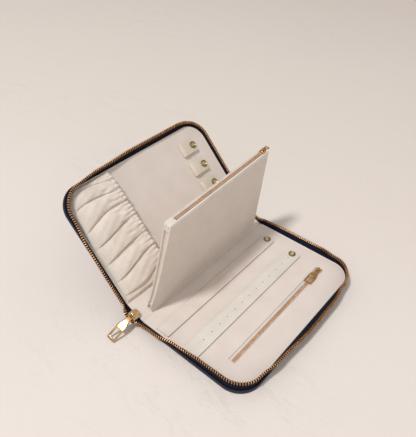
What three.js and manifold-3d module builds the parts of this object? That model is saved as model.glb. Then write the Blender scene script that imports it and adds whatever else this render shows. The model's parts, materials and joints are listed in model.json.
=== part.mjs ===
// Zip-around jewelry case, open like a book: two stiff halves, a spine, and a zipped
// pouch that stands on the spine between them. Millimetres, +Z up, floor at z = 0.
// Origin: centre of the back half's underside. Y runs along the spine, X across it.
import * as THREE from 'three';
import { mergeVertices } from 'three/addons/utils/BufferGeometryUtils.js';
import Module from 'manifold-3d';

// Clearances
const fit = 0.3;
const creaseGap = 0.2;

// Pages: each half's lined face, seen from inside
const pageWidth = 126.5;
const pageLength = 200;
const cornerRadius = 22;
const spineWidth = 23.4;

// Layers of a half, from the outside in
const coverThickness = 1.2;
const boardThickness = 2.4;
const liningThickness = 1.0;
const halfThickness = coverThickness + boardThickness + liningThickness + 2 * fit;

// How far the case is open: each fold is half of the front half's tilt
const frontTilt = THREE.MathUtils.degToRad(46.7);
const foldTilt = frontTilt / 2;

// Main zip, standing on three sides of each half
const tapeInset = 0.4;
const tapeThickness = 0.9;
const tapeFoot = 2.5;
const tapeStart = 5;
const teethHeight = 3.0;
const teethThickness = 2.4;
const rimThickness = 1.2;
const rimOffset = tapeInset + tapeThickness + fit;
const coverOffset = rimOffset + rimThickness;

// Straps on the back half
const strapThickness = 1.5;
const strapStart = 2.5;
const strapLength = pageLength - 18.5;
const strapCorner = 3;
const ringStrap = { centre: 24.9, width: 15.8, snap: pageLength - 20.2 };
const earringStrap = { centre: 60.9, width: 17.2, snap: pageLength - 21.7 };
const holeCount = 13;
const firstHole = 22.8;
const lastHole = strapLength - 11.1;
const holePitch = (lastHole - firstHole) / (holeCount - 1);
const holeRadius = 0.75;

// Snap fasteners
const snapRadius = 4.2;
const snapHeight = 1.3;
const snapPost = 2.0;

// Zipped pocket in the back half
const pocketWindow = {
  left: pageWidth - 35, right: pageWidth - 26.9, near: 22, far: pageLength - 19.5,
};
const pocketTeeth = { centre: pageWidth - 29.6, width: 3.0, thickness: 1.0 };
const pocketTapeThickness = 0.6;
const bag = {
  left: pageWidth - 52.5, right: pageWidth - 8.5, near: 10, far: pageLength - 10, thickness: 0.8,
};
const pocketSliderPlace = pocketWindow.far - 5;

// Small sliders and pullers
const smallSlider = { length: 8, width: 6.4, plate: 1.0, wallDrop: 0.6 };
const smallArch = { near: 2.8, far: 2.8, post: 1.0, bar: 0.7 };
const smallPuller = { length: 23, width: 9, neck: 4.4, thickness: 0.9, droop: 4, roll: 0, slack: 0 };
const tinySlider = { length: 6, width: 5.6, plate: 0.8, wallDrop: 0.3 };
const tinyArch = { near: 2.2, far: 2.2, post: 0.9, bar: 0.6 };
const tinyPuller = { length: 9.5, width: 4.6, neck: 3.6, thickness: 0.8, droop: 12, roll: 0, slack: 0 };
const mainArch = { near: 2.4, far: 4.6, post: 1.3, bar: 0.9 };
const mainPuller = {
  length: 32.2, width: 9.6, neck: 5.4, thickness: 1.4, droop: 25.2, roll: 10.35, slack: 0.45,
};
const pinHalf = 0.4;
const sliderTaper = 0.72;
const sliderBelly = 1.05;
const pullerShape = { shoulder: 0.52, window: 0.572, corner: 0.09, frame: 0.17 };

// Main slider at the near end of the spine
const mainSlider = {
  length: 10, mouth: 10, nose: 6, thickness: 3.6, slot: 1.4, slotDepth: 4.5, post: 2.4,
  shoulder: 4, belly: 7, overhang: 7.4, pin: 2.0, right: 1.3,
};

// Pouch on the spine
const pouchSeat = 5.5;
const pouchLean = THREE.MathUtils.degToRad(15.05);
const rollRadius = 1.2;
const pouchStem = { height: 7, thickness: 0.8 };
const pouchLength = 117.8;
const pouchHeight = pouchLength - pouchStem.height;
const pouchWall = 1.0;
const pouchBase = 5.6;
const pouchTop = 7.8;
const pouchNear = { base: 14.5, top: 27.5, twist: 2.4, curve: 0.62 };
const pouchFar = { base: pageLength - 13, top: pageLength - 20.5, twist: -3.0 };
const pouchBulge = 0.85;
const pouchZip = {
  near: 36, far: pouchFar.top - 1.5, teethWidth: 3.0, teethThickness: 1.2, tapeThickness: 0.6,
};
const pouchSliderPlace = pouchZip.far - 3.5;
const gussetThickness = 0.8;
const endTab = { length: 2.6, below: 1.2, above: 0.2 };

// Gathered pocket on the front half
const gathered = { mouth: 55, bulge: 7.9, foldDepth: 0.75, folds: 7, cloth: 0.6, edge: 1.2 };
const elastic = { width: 3.6, thickness: 1.4, ruffles: 22, ruffleDepth: 0.35 };

// Snap tabs on the front half
const tabCentres = [23.1, 48.7, 74.1, 99.6].map((fromEdge) => pageWidth - fromEdge);
const tab = {
  width: 16, near: pageLength - 41.8, far: pageLength - 19.4, base: 1.0, flap: 1.2, fold: 4.2,
  snap: pageLength - 23.8,
};
const tabFold = { skin: 0.7, neck: 2.4, bend: 4.5, flat: 9 };
const tabTurnHeight = 1.0;

const colours = {
  navyLeather: { color: 0x12162d, roughness: 0.55, metalness: 0 },
  board: { color: 0x9a8468, roughness: 0.9, metalness: 0 },
  lining: { color: 0xded2c8, roughness: 0.75, metalness: 0 },
  cloth: { color: 0xe0d6ca, roughness: 0.8, metalness: 0 },
  strapLeather: { color: 0xe4ded2, roughness: 0.6, metalness: 0 },
  navyTape: { color: 0x10142a, roughness: 0.85, metalness: 0 },
  paleTape: { color: 0xe8e4dd, roughness: 0.85, metalness: 0 },
  copperTeeth: { color: 0xbe7d46, roughness: 0.35, metalness: 1 },
  roseTeeth: { color: 0xd7a587, roughness: 0.35, metalness: 1 },
  gold: { color: 0xd9b070, roughness: 0.25, metalness: 1 },
  brass: { color: 0x9c8a5c, roughness: 0.35, metalness: 1 },
};

const wasm = await Module();
wasm.setup();

// Geometry helpers

// Indexed, position-only copy with its faces turned outward; mirror flips it across x = 0.
function closed(geometry, mirror = 1) {
  const source = geometry.clone();
  source.deleteAttribute('normal');
  source.deleteAttribute('uv');
  if (mirror < 0) source.scale(-1, 1, 1);
  const merged = mergeVertices(source, 1e-4);
  const index = merged.index.array;
  const points = merged.attributes.position;
  const [a, b, c] = [new THREE.Vector3(), new THREE.Vector3(), new THREE.Vector3()];
  let volume = 0;
  for (let i = 0; i < index.length; i += 3) {
    a.fromBufferAttribute(points, index[i]);
    b.fromBufferAttribute(points, index[i + 1]);
    c.fromBufferAttribute(points, index[i + 2]);
    volume += a.dot(b.cross(c));
  }
  if (volume < 0) {
    for (let i = 0; i < index.length; i += 3) {
      [index[i + 1], index[i + 2]] = [index[i + 2], index[i + 1]];
    }
  }
  merged.computeVertexNormals();
  return merged;
}

function toSolid(geometry) {
  const clean = closed(geometry);
  const mesh = new wasm.Mesh({
    numProp: 3,
    vertProperties: new Float32Array(clean.attributes.position.array),
    triVerts: new Uint32Array(clean.index.array),
  });
  return new wasm.Manifold(mesh);
}

function fromSolid(solid) {
  const mesh = solid.getMesh();
  const geometry = new THREE.BufferGeometry();
  const positions = new Float32Array(mesh.vertProperties);
  geometry.setAttribute('position', new THREE.BufferAttribute(positions, 3));
  geometry.setIndex(new THREE.BufferAttribute(new Uint32Array(mesh.triVerts), 1));
  return geometry;
}

function cut(body, ...tools) {
  let solid = toSolid(body);
  for (const tool of tools) solid = solid.subtract(toSolid(tool));
  return fromSolid(solid);
}

function join(...bodies) {
  let solid = toSolid(bodies[0]);
  for (const body of bodies.slice(1)) solid = solid.add(toSolid(body));
  return fromSolid(solid);
}

// A box from its lowest and highest corners
function box(x0, x1, y0, y1, z0, z1) {
  const geometry = new THREE.BoxGeometry(x1 - x0, y1 - y0, z1 - z0);
  return geometry.translate((x0 + x1) / 2, (y0 + y1) / 2, (z0 + z1) / 2);
}

// A shape in the XY plane, thickened from z0 to z1
function slab(shape, z0, z1, curveSegments = 8) {
  const options = { depth: z1 - z0, bevelEnabled: false, curveSegments };
  return new THREE.ExtrudeGeometry(shape, options).translate(0, 0, z0);
}

// A profile of [radius, z] points, turned about the z axis
function turned(profile, segments = 14) {
  const points = profile.map(([radius, z]) => new THREE.Vector2(radius, z));
  return new THREE.LatheGeometry(points, segments).rotateX(Math.PI / 2);
}

function cylinderAlongZ(radius, z0, z1, segments = 14) {
  const geometry = new THREE.CylinderGeometry(radius, radius, z1 - z0, segments);
  return geometry.rotateX(Math.PI / 2).translate(0, 0, (z0 + z1) / 2);
}

// A rectangle with its corners rounded, lower-left corner first
function roundedRectangle(x0, y0, x1, y1, radii) {
  const [r00, r10, r11, r01] = radii;
  const shape = new THREE.Shape();
  shape.moveTo(x0 + r00, y0);
  shape.lineTo(x1 - r10, y0);
  if (r10) shape.absarc(x1 - r10, y0 + r10, r10, -Math.PI / 2, 0);
  shape.lineTo(x1, y1 - r11);
  if (r11) shape.absarc(x1 - r11, y1 - r11, r11, 0, Math.PI / 2);
  shape.lineTo(x0 + r01, y1);
  if (r01) shape.absarc(x0 + r01, y1 - r01, r01, Math.PI / 2, Math.PI);
  shape.lineTo(x0, y0 + r00);
  if (r00) shape.absarc(x0 + r00, y0 + r00, r00, Math.PI, 1.5 * Math.PI);
  return shape;
}

function circlePath(x, y, radius) {
  return new THREE.Path().absarc(x, y, radius, 0, 2 * Math.PI);
}

// A closed body through equal rings of points; caps lists the triangles of one ring.
function loft(rings, caps) {
  const size = rings[0].length;
  const positions = rings.flat().flatMap((point) => [point.x, point.y, point.z]);
  const faces = [];
  for (let i = 0; i + 1 < rings.length; i += 1) {
    for (let j = 0; j < size; j += 1) {
      const a = i * size + j;
      const b = i * size + ((j + 1) % size);
      faces.push(a, b, b + size, a, b + size, a + size);
    }
  }
  const last = (rings.length - 1) * size;
  for (const [a, b, c] of caps) {
    faces.push(a, c, b, last + a, last + b, last + c);
  }
  const geometry = new THREE.BufferGeometry();
  geometry.setAttribute('position', new THREE.Float32BufferAttribute(positions, 3));
  geometry.setIndex(faces);
  return geometry;
}

const quadCaps = [[0, 1, 2], [0, 2, 3]];
const bentCaps = [[0, 1, 2], [0, 2, 5], [5, 2, 3], [5, 3, 4]];

// Value at x between hand-chosen [x, value] stops
function between(stops, x) {
  if (x <= stops[0][0]) return stops[0][1];
  for (let i = 1; i < stops.length; i += 1) {
    const [x0, y0] = stops[i - 1];
    const [x1, y1] = stops[i];
    if (x <= x1) return THREE.MathUtils.lerp(y0, y1, THREE.MathUtils.smoothstep(x, x0, x1));
  }
  return stops[stops.length - 1][1];
}

function addMesh(parent, name, geometry, colour, mirror = 1) {
  const mesh = new THREE.Mesh(closed(geometry, mirror), new THREE.MeshStandardMaterial(colours[colour]));
  mesh.name = name;
  parent.add(mesh);
  return mesh;
}

function addGroup(parent, name, x, y, z, turnY = 0) {
  const group = new THREE.Group();
  group.name = name;
  group.position.set(x, y, z);
  group.rotation.y = turnY;
  parent.add(group);
  return group;
}

// Places along the page: y is measured from the near end of the spine
const along = (distance) => distance - pageLength / 2;

// Outline of a half, grown by offset on its three free sides; x is measured from the crease.
function pageShape(offset, start = creaseGap) {
  const radius = cornerRadius + offset;
  const reach = pageLength / 2 + offset;
  return roundedRectangle(start, -reach, pageWidth + offset, reach, [0, radius, radius, 0]);
}

// Stations along the lining's edge, from the near end of the crease to its far end
function edgeStations() {
  const arcSteps = 9;
  const straightSteps = 9;
  const inner = pageWidth - cornerRadius;
  const reach = pageLength / 2;
  const sides = [
    { from: [tapeStart, -reach], to: [inner, -reach], normal: [0, -1] },
    { centre: [inner, -reach + cornerRadius], start: -Math.PI / 2 },
    { from: [pageWidth, -reach + cornerRadius], to: [pageWidth, reach - cornerRadius], normal: [1, 0] },
    { centre: [inner, reach - cornerRadius], start: 0 },
    { from: [inner, reach], to: [tapeStart, reach], normal: [0, 1] },
  ];
  const stations = [];
  let travelled = 0;
  const push = (x, y, nx, ny) => {
    const last = stations[stations.length - 1];
    if (last) travelled += Math.hypot(x - last.x, y - last.y);
    if (!last || Math.hypot(x - last.x, y - last.y) > 1e-6) stations.push({ x, y, nx, ny, travelled });
  };
  for (const side of sides) {
    if (side.centre) {
      for (let i = 0; i <= arcSteps; i += 1) {
        const angle = side.start + (i / arcSteps) * (Math.PI / 2);
        const [nx, ny] = [Math.cos(angle), Math.sin(angle)];
        push(side.centre[0] + cornerRadius * nx, side.centre[1] + cornerRadius * ny, nx, ny);
      }
    } else {
      for (let i = 0; i <= straightSteps; i += 1) {
        const x = THREE.MathUtils.lerp(side.from[0], side.to[0], i / straightSteps);
        const y = THREE.MathUtils.lerp(side.from[1], side.to[1], i / straightSteps);
        push(x, y, ...side.normal);
      }
    }
  }
  return stations;
}

// The tape and the teeth strip of one half. The stops give the tape's height and its
// outward lean in degrees at fractions of the run.
function zipBodies({ heights, leans }) {
  const stations = edgeStations();
  const total = stations[stations.length - 1].travelled;
  const tapeRings = [];
  const teethRings = [];
  for (const station of stations) {
    const lean = THREE.MathUtils.degToRad(between(leans, station.travelled / total));
    const rise = between(heights, station.travelled / total);
    const place = (out, up) =>
      new THREE.Vector3(station.x + station.nx * out, station.y + station.ny * out, up);
    const [sin, cos] = [Math.sin(lean), Math.cos(lean)];
    const middle = tapeInset + tapeThickness / 2;
    const slanted = (distance, side) =>
      place(middle + sin * distance + cos * side, fit + cos * distance - sin * side);
    tapeRings.push([
      place(tapeInset, -tapeFoot),
      place(tapeInset + tapeThickness, -tapeFoot),
      place(tapeInset + tapeThickness, fit),
      slanted(rise, tapeThickness / 2),
      slanted(rise, -tapeThickness / 2),
      place(tapeInset, fit),
    ]);
    teethRings.push([
      slanted(rise + fit, -teethThickness / 2),
      slanted(rise + fit, teethThickness / 2),
      slanted(rise + fit + teethHeight, teethThickness / 2),
      slanted(rise + fit + teethHeight, -teethThickness / 2),
    ]);
  }
  return { tape: loft(tapeRings, bentCaps), teeth: loft(teethRings, quadCaps) };
}

// Cap of a snap with its post through the strap, and the stud below it
function snapCap(postBottom, capBottom) {
  return turned([
    [0, postBottom],
    [snapPost, postBottom],
    [snapPost, capBottom],
    [snapRadius, capBottom],
    [snapRadius, capBottom + 0.35 * snapHeight],
    [0.72 * snapRadius, capBottom + 0.85 * snapHeight],
    [0, capBottom + snapHeight],
  ]);
}

function snapStud(bottom, top) {
  return turned([[0, bottom], [snapPost, bottom], [snapPost, top - 0.25], [0.8 * snapPost, top], [0, top]]);
}

// Room round the puller's flat pin as it turns
function pinClear(puller) {
  return Math.hypot(pinHalf, puller.thickness / 2) + fit;
}

// Height of the pin above the slider's plate, whose edge the drooping puller passes over
function pinLift(puller, edge) {
  const droop = THREE.MathUtils.degToRad(puller.droop);
  const overEdge = edge * Math.tan(droop) + puller.thickness / (2 * Math.cos(droop)) + fit;
  const rolled = (puller.neck / 2) * Math.sin(THREE.MathUtils.degToRad(puller.roll));
  return Math.max(pinClear(puller), overEdge) + rolled;
}

// Arch over the puller's pin: two posts and a bar along y, standing on a plate at height base
function archBody(arch, puller, base, lift) {
  const top = base + lift + pinClear(puller);
  const half = arch.post / 2;
  const root = base - 0.2;
  return join(
    box(-half, half, -arch.near, arch.post - arch.near, root, top + arch.bar),
    box(-half, half, arch.far - arch.post, arch.far, root, top + arch.bar),
    box(-half, half, -arch.near, arch.far, top, top + arch.bar),
  );
}

// Slider that straddles a teeth strip whose top is at z = 0; the puller's pin is at y = 0.
function sliderBody(size, arch, puller, teethWidth) {
  const half = size.width / 2;
  const shape = new THREE.Shape();
  const nose = half * sliderTaper;
  shape.moveTo(-nose, -size.length / 2);
  shape.lineTo(nose, -size.length / 2);
  shape.quadraticCurveTo(half * sliderBelly, 0, half, size.length / 2);
  shape.lineTo(-half, size.length / 2);
  shape.quadraticCurveTo(-half * sliderBelly, 0, -nose, -size.length / 2);
  const plateTop = fit + size.plate;
  const body = slab(shape, -size.wallDrop, plateTop, 4);
  const channelHalf = teethWidth / 2 + fit;
  const channel = box(-channelHalf, channelHalf, -size.length, size.length, -size.wallDrop - 1, fit);
  const lift = pinLift(puller, size.length / 2);
  return join(cut(body, channel), archBody(arch, puller, plateTop, lift));
}

// Flat puller with an eye round the arch and an open window near its free end.
// Its pin lies along x through the origin, and it points along -y.
function pullerBody(size, arch) {
  const eye = arch.near + size.thickness / 2 + 0.6;
  const half = size.width / 2;
  const neck = size.neck / 2;
  const widest = -pullerShape.shoulder * size.length;
  const corner = pullerShape.corner * size.width;
  const outline = new THREE.Shape();
  outline.moveTo(-neck, pinHalf);
  outline.lineTo(-neck, -eye - 1);
  outline.lineTo(-half, widest);
  outline.lineTo(-half, corner - size.length);
  outline.quadraticCurveTo(-half, -size.length, corner - half, -size.length);
  outline.lineTo(half - corner, -size.length);
  outline.quadraticCurveTo(half, -size.length, half, corner - size.length);
  outline.lineTo(half, widest);
  outline.lineTo(neck, -eye - 1);
  outline.lineTo(neck, pinHalf);
  const frame = pullerShape.frame * size.width;
  const windowTop = -pullerShape.window * size.length;
  const eyeHalf = arch.post / 2 + fit + size.slack;
  const square = [0, 0, 0, 0];
  outline.holes.push(roundedRectangle(frame - half, frame - size.length, half - frame, windowTop, square));
  outline.holes.push(roundedRectangle(-eyeHalf, -eye, eyeHalf, -pinHalf, square));
  return slab(outline, -size.thickness / 2, size.thickness / 2, 3);
}

// A slider's group at its seat on the teeth, with its puller's group at the pin
function buildSlider(parent, name, place, slider, arch, puller, teethWidth, turn = 0, skew = 0) {
  const group = addGroup(parent, name, ...place);
  group.rotation.z = skew;
  const body = sliderBody(slider, arch, puller, teethWidth).rotateZ(turn);
  addMesh(group, name, body, 'gold');
  const pin = fit + slider.plate + pinLift(puller, slider.length / 2);
  const pullerGroup = addGroup(group, name.replace('slider', 'puller'), 0, 0, pin);
  pullerGroup.rotation.x = THREE.MathUtils.degToRad(puller.droop) * (turn ? -1 : 1);
  addMesh(pullerGroup, name.replace('slider', 'puller'), pullerBody(puller, arch).rotateZ(turn), 'gold');
}

const jewelryCase = new THREE.Group();
const back = addGroup(jewelryCase, 'back_half', -pageWidth / 2, 0, halfThickness);
const spine = addGroup(back, 'spine', 0, 0, 0, foldTilt);
const front = addGroup(spine, 'front_half', -spineWidth, 0, 0, foldTilt);

// Shell of one half: cover tray, board, lining and main zip

const boardBottom = -halfThickness + coverThickness + fit;
const boardTop = boardBottom + boardThickness;

function coverTray() {
  const outer = slab(pageShape(coverOffset), -halfThickness, 0);
  return cut(outer, slab(pageShape(rimOffset, -1), -halfThickness + coverThickness, 1));
}

function buildShell(group, prefix, side, tapeStops, board, lining) {
  addMesh(group, `${prefix}_cover`, coverTray(), 'navyLeather', side);
  addMesh(group, `${prefix}_board`, board, 'board', side);
  addMesh(group, `${prefix}_lining`, lining, 'lining', side);
  const zip = zipBodies(tapeStops);
  addMesh(group, `${prefix}_zip_tape`, zip.tape, 'navyTape', side);
  addMesh(group, `${prefix}_zip_teeth`, zip.teeth, 'copperTeeth', side);
}

// Back half: the board has a recess for the pocket bag, and the lining has the pocket's
// window and a hole for each strap's stud.
function backBoard() {
  const plain = slab(pageShape(0), boardBottom, boardTop);
  const recess = box(bag.left - fit, bag.right + fit, along(bag.near) - fit, along(bag.far) + fit,
    boardTop - bag.thickness - fit, boardTop + 1);
  return cut(plain, recess);
}

function backLining() {
  const shape = pageShape(0);
  const { left, right, near, far } = pocketWindow;
  shape.holes.push(roundedRectangle(left, along(near), right, along(far), [0, 0, 0, 0]));
  for (const strap of [ringStrap, earringStrap]) {
    shape.holes.push(circlePath(strap.centre, along(strap.snap), snapPost + fit));
  }
  return slab(shape, -liningThickness, 0);
}

const backTape = {
  heights: [[0, 4.6], [0.06, 7.7], [0.66, 7.7], [0.71, 4.8], [0.77, 4.8], [0.8, 5.2], [0.93, 5], [1, 3.6]],
  leans: [
    [0, 58], [0.04, 46], [0.1, 18], [0.17, 4], [0.24, 0], [0.31, 6], [0.38, 30],
    [0.5, 52], [0.6, 48], [0.67, 20], [0.72, 0], [0.77, 10], [0.84, 54], [0.95, 58], [1, 50],
  ],
};
const frontTape = {
  heights: [[0, 4.6], [0.06, 7.7], [0.27, 7.7], [0.36, 5.5], [0.66, 5.5], [0.71, 2.8], [0.78, 2.5]],
  leans: [
    [0, 50], [0.06, 40], [0.15, 34], [0.23, 12], [0.27, 2], [0.31, 2], [0.38, 28],
    [0.5, 48], [0.6, 46], [0.7, 46], [0.78, 49], [0.86, 45], [1, 48],
  ],
};

buildShell(back, 'back', 1, backTape, backBoard(), backLining());
addMesh(back, 'pocket_bag', box(bag.left, bag.right, along(bag.near), along(bag.far),
  boardTop - bag.thickness, boardTop), 'cloth');

// Pocket zip: its tape fills the window, and the teeth lie on the tape.
const pocketTapeTop = -liningThickness + pocketTapeThickness;
const pocketTeethTop = pocketTapeTop + fit + pocketTeeth.thickness;
addMesh(back, 'pocket_zip_tape', box(pocketWindow.left + fit, pocketWindow.right - fit,
  along(pocketWindow.near) + fit, along(pocketWindow.far) - fit, -liningThickness, pocketTapeTop), 'paleTape');
addMesh(back, 'pocket_zip_teeth', box(
  pocketTeeth.centre - pocketTeeth.width / 2, pocketTeeth.centre + pocketTeeth.width / 2,
  along(pocketWindow.near) + 2 * fit, along(pocketWindow.far) - 2 * fit,
  pocketTapeTop + fit, pocketTeethTop), 'roseTeeth');

buildSlider(back, 'pocket_slider', [pocketTeeth.centre, along(pocketSliderPlace), pocketTeethTop],
  smallSlider, smallArch, smallPuller, pocketTeeth.width);

// Straps: each turns at its near end and snaps down at its far end.
function strapShape(strap, holes) {
  const half = strap.width / 2;
  const shape = roundedRectangle(-half, 0, half, strapLength, [0, 0, strapCorner, strapCorner]);
  shape.holes.push(circlePath(0, strap.snap - strapStart, snapPost + fit));
  for (let i = 0; i < holes; i += 1) {
    shape.holes.push(circlePath(0, firstHole + i * holePitch - strapStart, holeRadius));
  }
  return shape;
}

function buildStrap(name, strap, holes) {
  const group = addGroup(back, name, strap.centre, along(strapStart), fit);
  addMesh(group, name, slab(strapShape(strap, holes), 0, strapThickness, 5), 'strapLeather');
  const cap = snapCap(0, strapThickness + fit).translate(0, strap.snap - strapStart, 0);
  addMesh(group, `${name}_cap`, cap, 'brass');
  const stud = snapStud(-liningThickness, 0).translate(strap.centre, along(strap.snap), 0);
  addMesh(back, `${name}_stud`, stud, 'brass');
}

buildStrap('ring_strap', ringStrap, 0);
buildStrap('earring_strap', earringStrap, holeCount);

// Spine: the same layers between the two creases, with a rim at each end
const spineReach = pageLength / 2 + coverOffset;
const spineInner = pageLength / 2 + rimOffset;
const [spineLeft, spineRight] = [-spineWidth + creaseGap, -creaseGap];
addMesh(spine, 'spine_cover', cut(
  box(spineLeft, spineRight, -spineReach, spineReach, -halfThickness, 0),
  box(spineLeft - 1, spineRight + 1, -spineInner, spineInner, -halfThickness + coverThickness, 1),
), 'navyLeather');
addMesh(spine, 'spine_board', box(spineLeft, spineRight, -pageLength / 2, pageLength / 2,
  boardBottom, boardTop), 'board');
addMesh(spine, 'spine_lining', box(spineLeft, spineRight, -pageLength / 2, pageLength / 2,
  -liningThickness, 0), 'lining');
for (const [end, sign] of [['near', -1], ['far', 1]]) {
  const inside = sign * (pageLength / 2 + tapeInset);
  const outside = sign * (pageLength / 2 + tapeInset + tapeThickness);
  addMesh(spine, `spine_zip_tape_${end}`, box(spineLeft, spineRight,
    Math.min(inside, outside), Math.max(inside, outside), -tapeFoot, 0), 'navyTape');
}

// Main slider: a mouth towards the near side, and an arch for the puller
function mainSliderBody() {
  const { length, mouth, nose, thickness, slot, slotDepth, shoulder, belly } = mainSlider;
  const shape = new THREE.Shape();
  shape.moveTo(-mouth / 2, 0);
  shape.lineTo(mouth / 2, 0);
  shape.lineTo(mouth / 2, shoulder);
  shape.quadraticCurveTo(mouth / 2, belly, nose / 2, length);
  shape.lineTo(-nose / 2, length);
  shape.quadraticCurveTo(-mouth / 2, belly, -mouth / 2, shoulder);
  shape.lineTo(-mouth / 2, 0);
  const middle = thickness / 2;
  const body = slab(shape, 0, thickness, 4);
  const mouthSlot = box(-mouth, mouth, -1, slotDepth, middle - slot / 2, middle + slot / 2);
  const half = mainSlider.post / 2;
  const post = box(-half, half, half, length / 2, middle - slot, middle + slot);
  return join(cut(body, mouthSlot), post);
}

const mainSliderGroup = addGroup(spine, 'main_slider', mainSlider.right - spineWidth / 2,
  along(-mainSlider.overhang), fit);
const mainLift = pinLift(mainPuller, mainSlider.pin);
const mainArchBody = archBody(mainArch, mainPuller, mainSlider.thickness, mainLift);
mainArchBody.translate(0, mainSlider.pin, 0);
addMesh(mainSliderGroup, 'main_slider', join(mainSliderBody(), mainArchBody), 'gold');
const mainPullerGroup = addGroup(mainSliderGroup, 'main_puller', 0, mainSlider.pin,
  mainSlider.thickness + mainLift);
mainPullerGroup.rotation.order = 'YXZ';
mainPullerGroup.rotation.x = THREE.MathUtils.degToRad(mainPuller.droop);
mainPullerGroup.rotation.y = -THREE.MathUtils.degToRad(mainPuller.roll);
addMesh(mainPullerGroup, 'main_puller', pullerBody(mainPuller, mainArch), 'gold');

// Pouch: two walls that open from a sewn fold, gussets at both ends, and a zip on top.
// It turns on the fold's lower roll.
const pouchBottom = rollRadius + fit;
const pouch = addGroup(spine, 'pouch', -pouchSeat, 0, pouchBottom, -pouchLean);
const pouchBag = addGroup(pouch, 'pouch_bag', 0, 0, pouchStem.height);

function hingeFold() {
  const [near, far] = [along(pouchNear.base), along(pouchFar.base)];
  const roll = cylinderAlongZ(rollRadius, near, far, 10).rotateX(-Math.PI / 2);
  const half = pouchStem.thickness / 2;
  const web = box(-half, half, near, far, 0, pouchStem.height);
  return join(web, roll, roll.clone().translate(0, 0, pouchStem.height));
}

addMesh(pouch, 'pouch_hinge_roll', hingeFold(), 'cloth');

const pouchPart = (z) => (z - pouchBottom) / (pouchHeight - pouchBottom);
const pouchHalf = (z) => THREE.MathUtils.lerp(pouchBase, pouchTop, pouchPart(z) ** pouchBulge) / 2;
const nearEdge = (z) =>
  along(THREE.MathUtils.lerp(pouchNear.base, pouchNear.top, pouchPart(z) ** pouchNear.curve));
const farEdge = (z) => along(THREE.MathUtils.lerp(pouchFar.base, pouchFar.top, pouchPart(z)));
const pouchLevels = Array.from({ length: 7 }, (_, i) =>
  THREE.MathUtils.lerp(pouchBottom, pouchHeight, i / 6));

// A body through one rectangle at each level; extent gives [x0, x1, y0, y1] at height z.
function throughLevels(extent) {
  const rings = pouchLevels.map((z) => {
    const [x0, x1, y0, y1] = extent(z);
    return [
      new THREE.Vector3(x0, y0, z), new THREE.Vector3(x1, y0, z),
      new THREE.Vector3(x1, y1, z), new THREE.Vector3(x0, y1, z),
    ];
  });
  return loft(rings, quadCaps);
}

// Sideways drift of the pouch: nothing at its base, and opposite ways at the two ends of its top
const twistSlope = (pouchFar.twist - pouchNear.twist) / (pouchFar.top - pouchNear.top);

function drift(y, z) {
  const middle = (pouchNear.twist + pouchFar.twist) / 2;
  const centre = along((pouchNear.top + pouchFar.top) / 2);
  return pouchPart(z) * (middle + twistSlope * (y - centre));
}

function twisted(geometry) {
  const points = geometry.attributes.position;
  for (let i = 0; i < points.count; i += 1) {
    points.setX(i, points.getX(i) + drift(points.getY(i), points.getZ(i)));
  }
  return geometry;
}

for (const [name, side] of [['back', 1], ['front', -1]]) {
  const wall = throughLevels((z) => [pouchHalf(z) - pouchWall, pouchHalf(z), nearEdge(z), farEdge(z)]);
  addMesh(pouchBag, `pouch_${name}_wall`, twisted(closed(wall, side)), 'cloth');
  const inner = pouchTop / 2 - pouchWall - fit;
  const outerTeeth = pouchZip.teethWidth / 2 + fit;
  const tape = box(outerTeeth, inner, along(pouchZip.near), along(pouchZip.far),
    pouchHeight - pouchZip.tapeThickness, pouchHeight);
  addMesh(pouchBag, `pouch_zip_tape_${name}`, twisted(closed(tape, side)), 'paleTape');
}
const gussetHalf = (z) => pouchHalf(z) - pouchWall - fit;
addMesh(pouchBag, 'pouch_near_gusset', twisted(throughLevels((z) => [
  -gussetHalf(z), gussetHalf(z), nearEdge(z) + fit, nearEdge(z) + fit + gussetThickness])), 'cloth');
addMesh(pouchBag, 'pouch_far_gusset', twisted(throughLevels((z) => [
  -gussetHalf(z), gussetHalf(z), farEdge(z) - fit - gussetThickness, farEdge(z) - fit])), 'cloth');
const teethTop = pouchHeight + pouchZip.teethThickness / 2;
addMesh(pouchBag, 'pouch_zip_teeth', twisted(box(-pouchZip.teethWidth / 2, pouchZip.teethWidth / 2,
  along(pouchZip.near), along(pouchZip.far),
  teethTop - pouchZip.teethThickness, teethTop)), 'roseTeeth');
const tabHalf = pouchTop / 2 - pouchWall - fit;
addMesh(pouchBag, 'pouch_end_tab', twisted(box(-tabHalf, tabHalf,
  along(pouchZip.near) - fit - endTab.length, along(pouchZip.near) - fit,
  pouchHeight - endTab.below, pouchHeight + endTab.above)), 'paleTape');

const pouchSliderY = along(pouchSliderPlace);
buildSlider(pouchBag, 'pouch_slider', [drift(pouchSliderY, teethTop), pouchSliderY, teethTop],
  tinySlider, tinyArch, tinyPuller, pouchZip.teethWidth, Math.PI, -Math.atan(twistSlope));

// Front half
buildShell(front, 'front', -1, frontTape,
  slab(pageShape(0), boardBottom, boardTop), slab(pageShape(0), -liningThickness, 0));

// Gathered pocket: a cloth shell sewn down on three sides, open at its elastic edge
function pocketNearEdge(x) {
  const past = Math.max(0, x - (pageWidth - cornerRadius));
  const radius = cornerRadius - gathered.edge;
  const drop = radius - Math.sqrt(Math.max(0, radius ** 2 - Math.min(past, radius) ** 2));
  return along(gathered.edge) + drop;
}

function pocketRise(u, v) {
  const across = Math.min(1, 3.2 * Math.min(u, 1 - u)) ** 0.6;
  const inward = between([[0, 0], [0.16, 0.66], [0.45, 1], [0.8, 1], [1, 0.95]], v);
  const drift = 0.55 * Math.sin(2.4 * v + 5 * u) - 0.9 * v;
  const fold = Math.cos(2 * Math.PI * gathered.folds * u + 2 * drift) - 0.15;
  return across * inward * (gathered.bulge + gathered.foldDepth * fold);
}

function pocketPlace(u, v) {
  const x = THREE.MathUtils.lerp(gathered.edge, pageWidth - gathered.edge, u);
  return [x, THREE.MathUtils.lerp(pocketNearEdge(x), along(gathered.mouth), v)];
}

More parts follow.
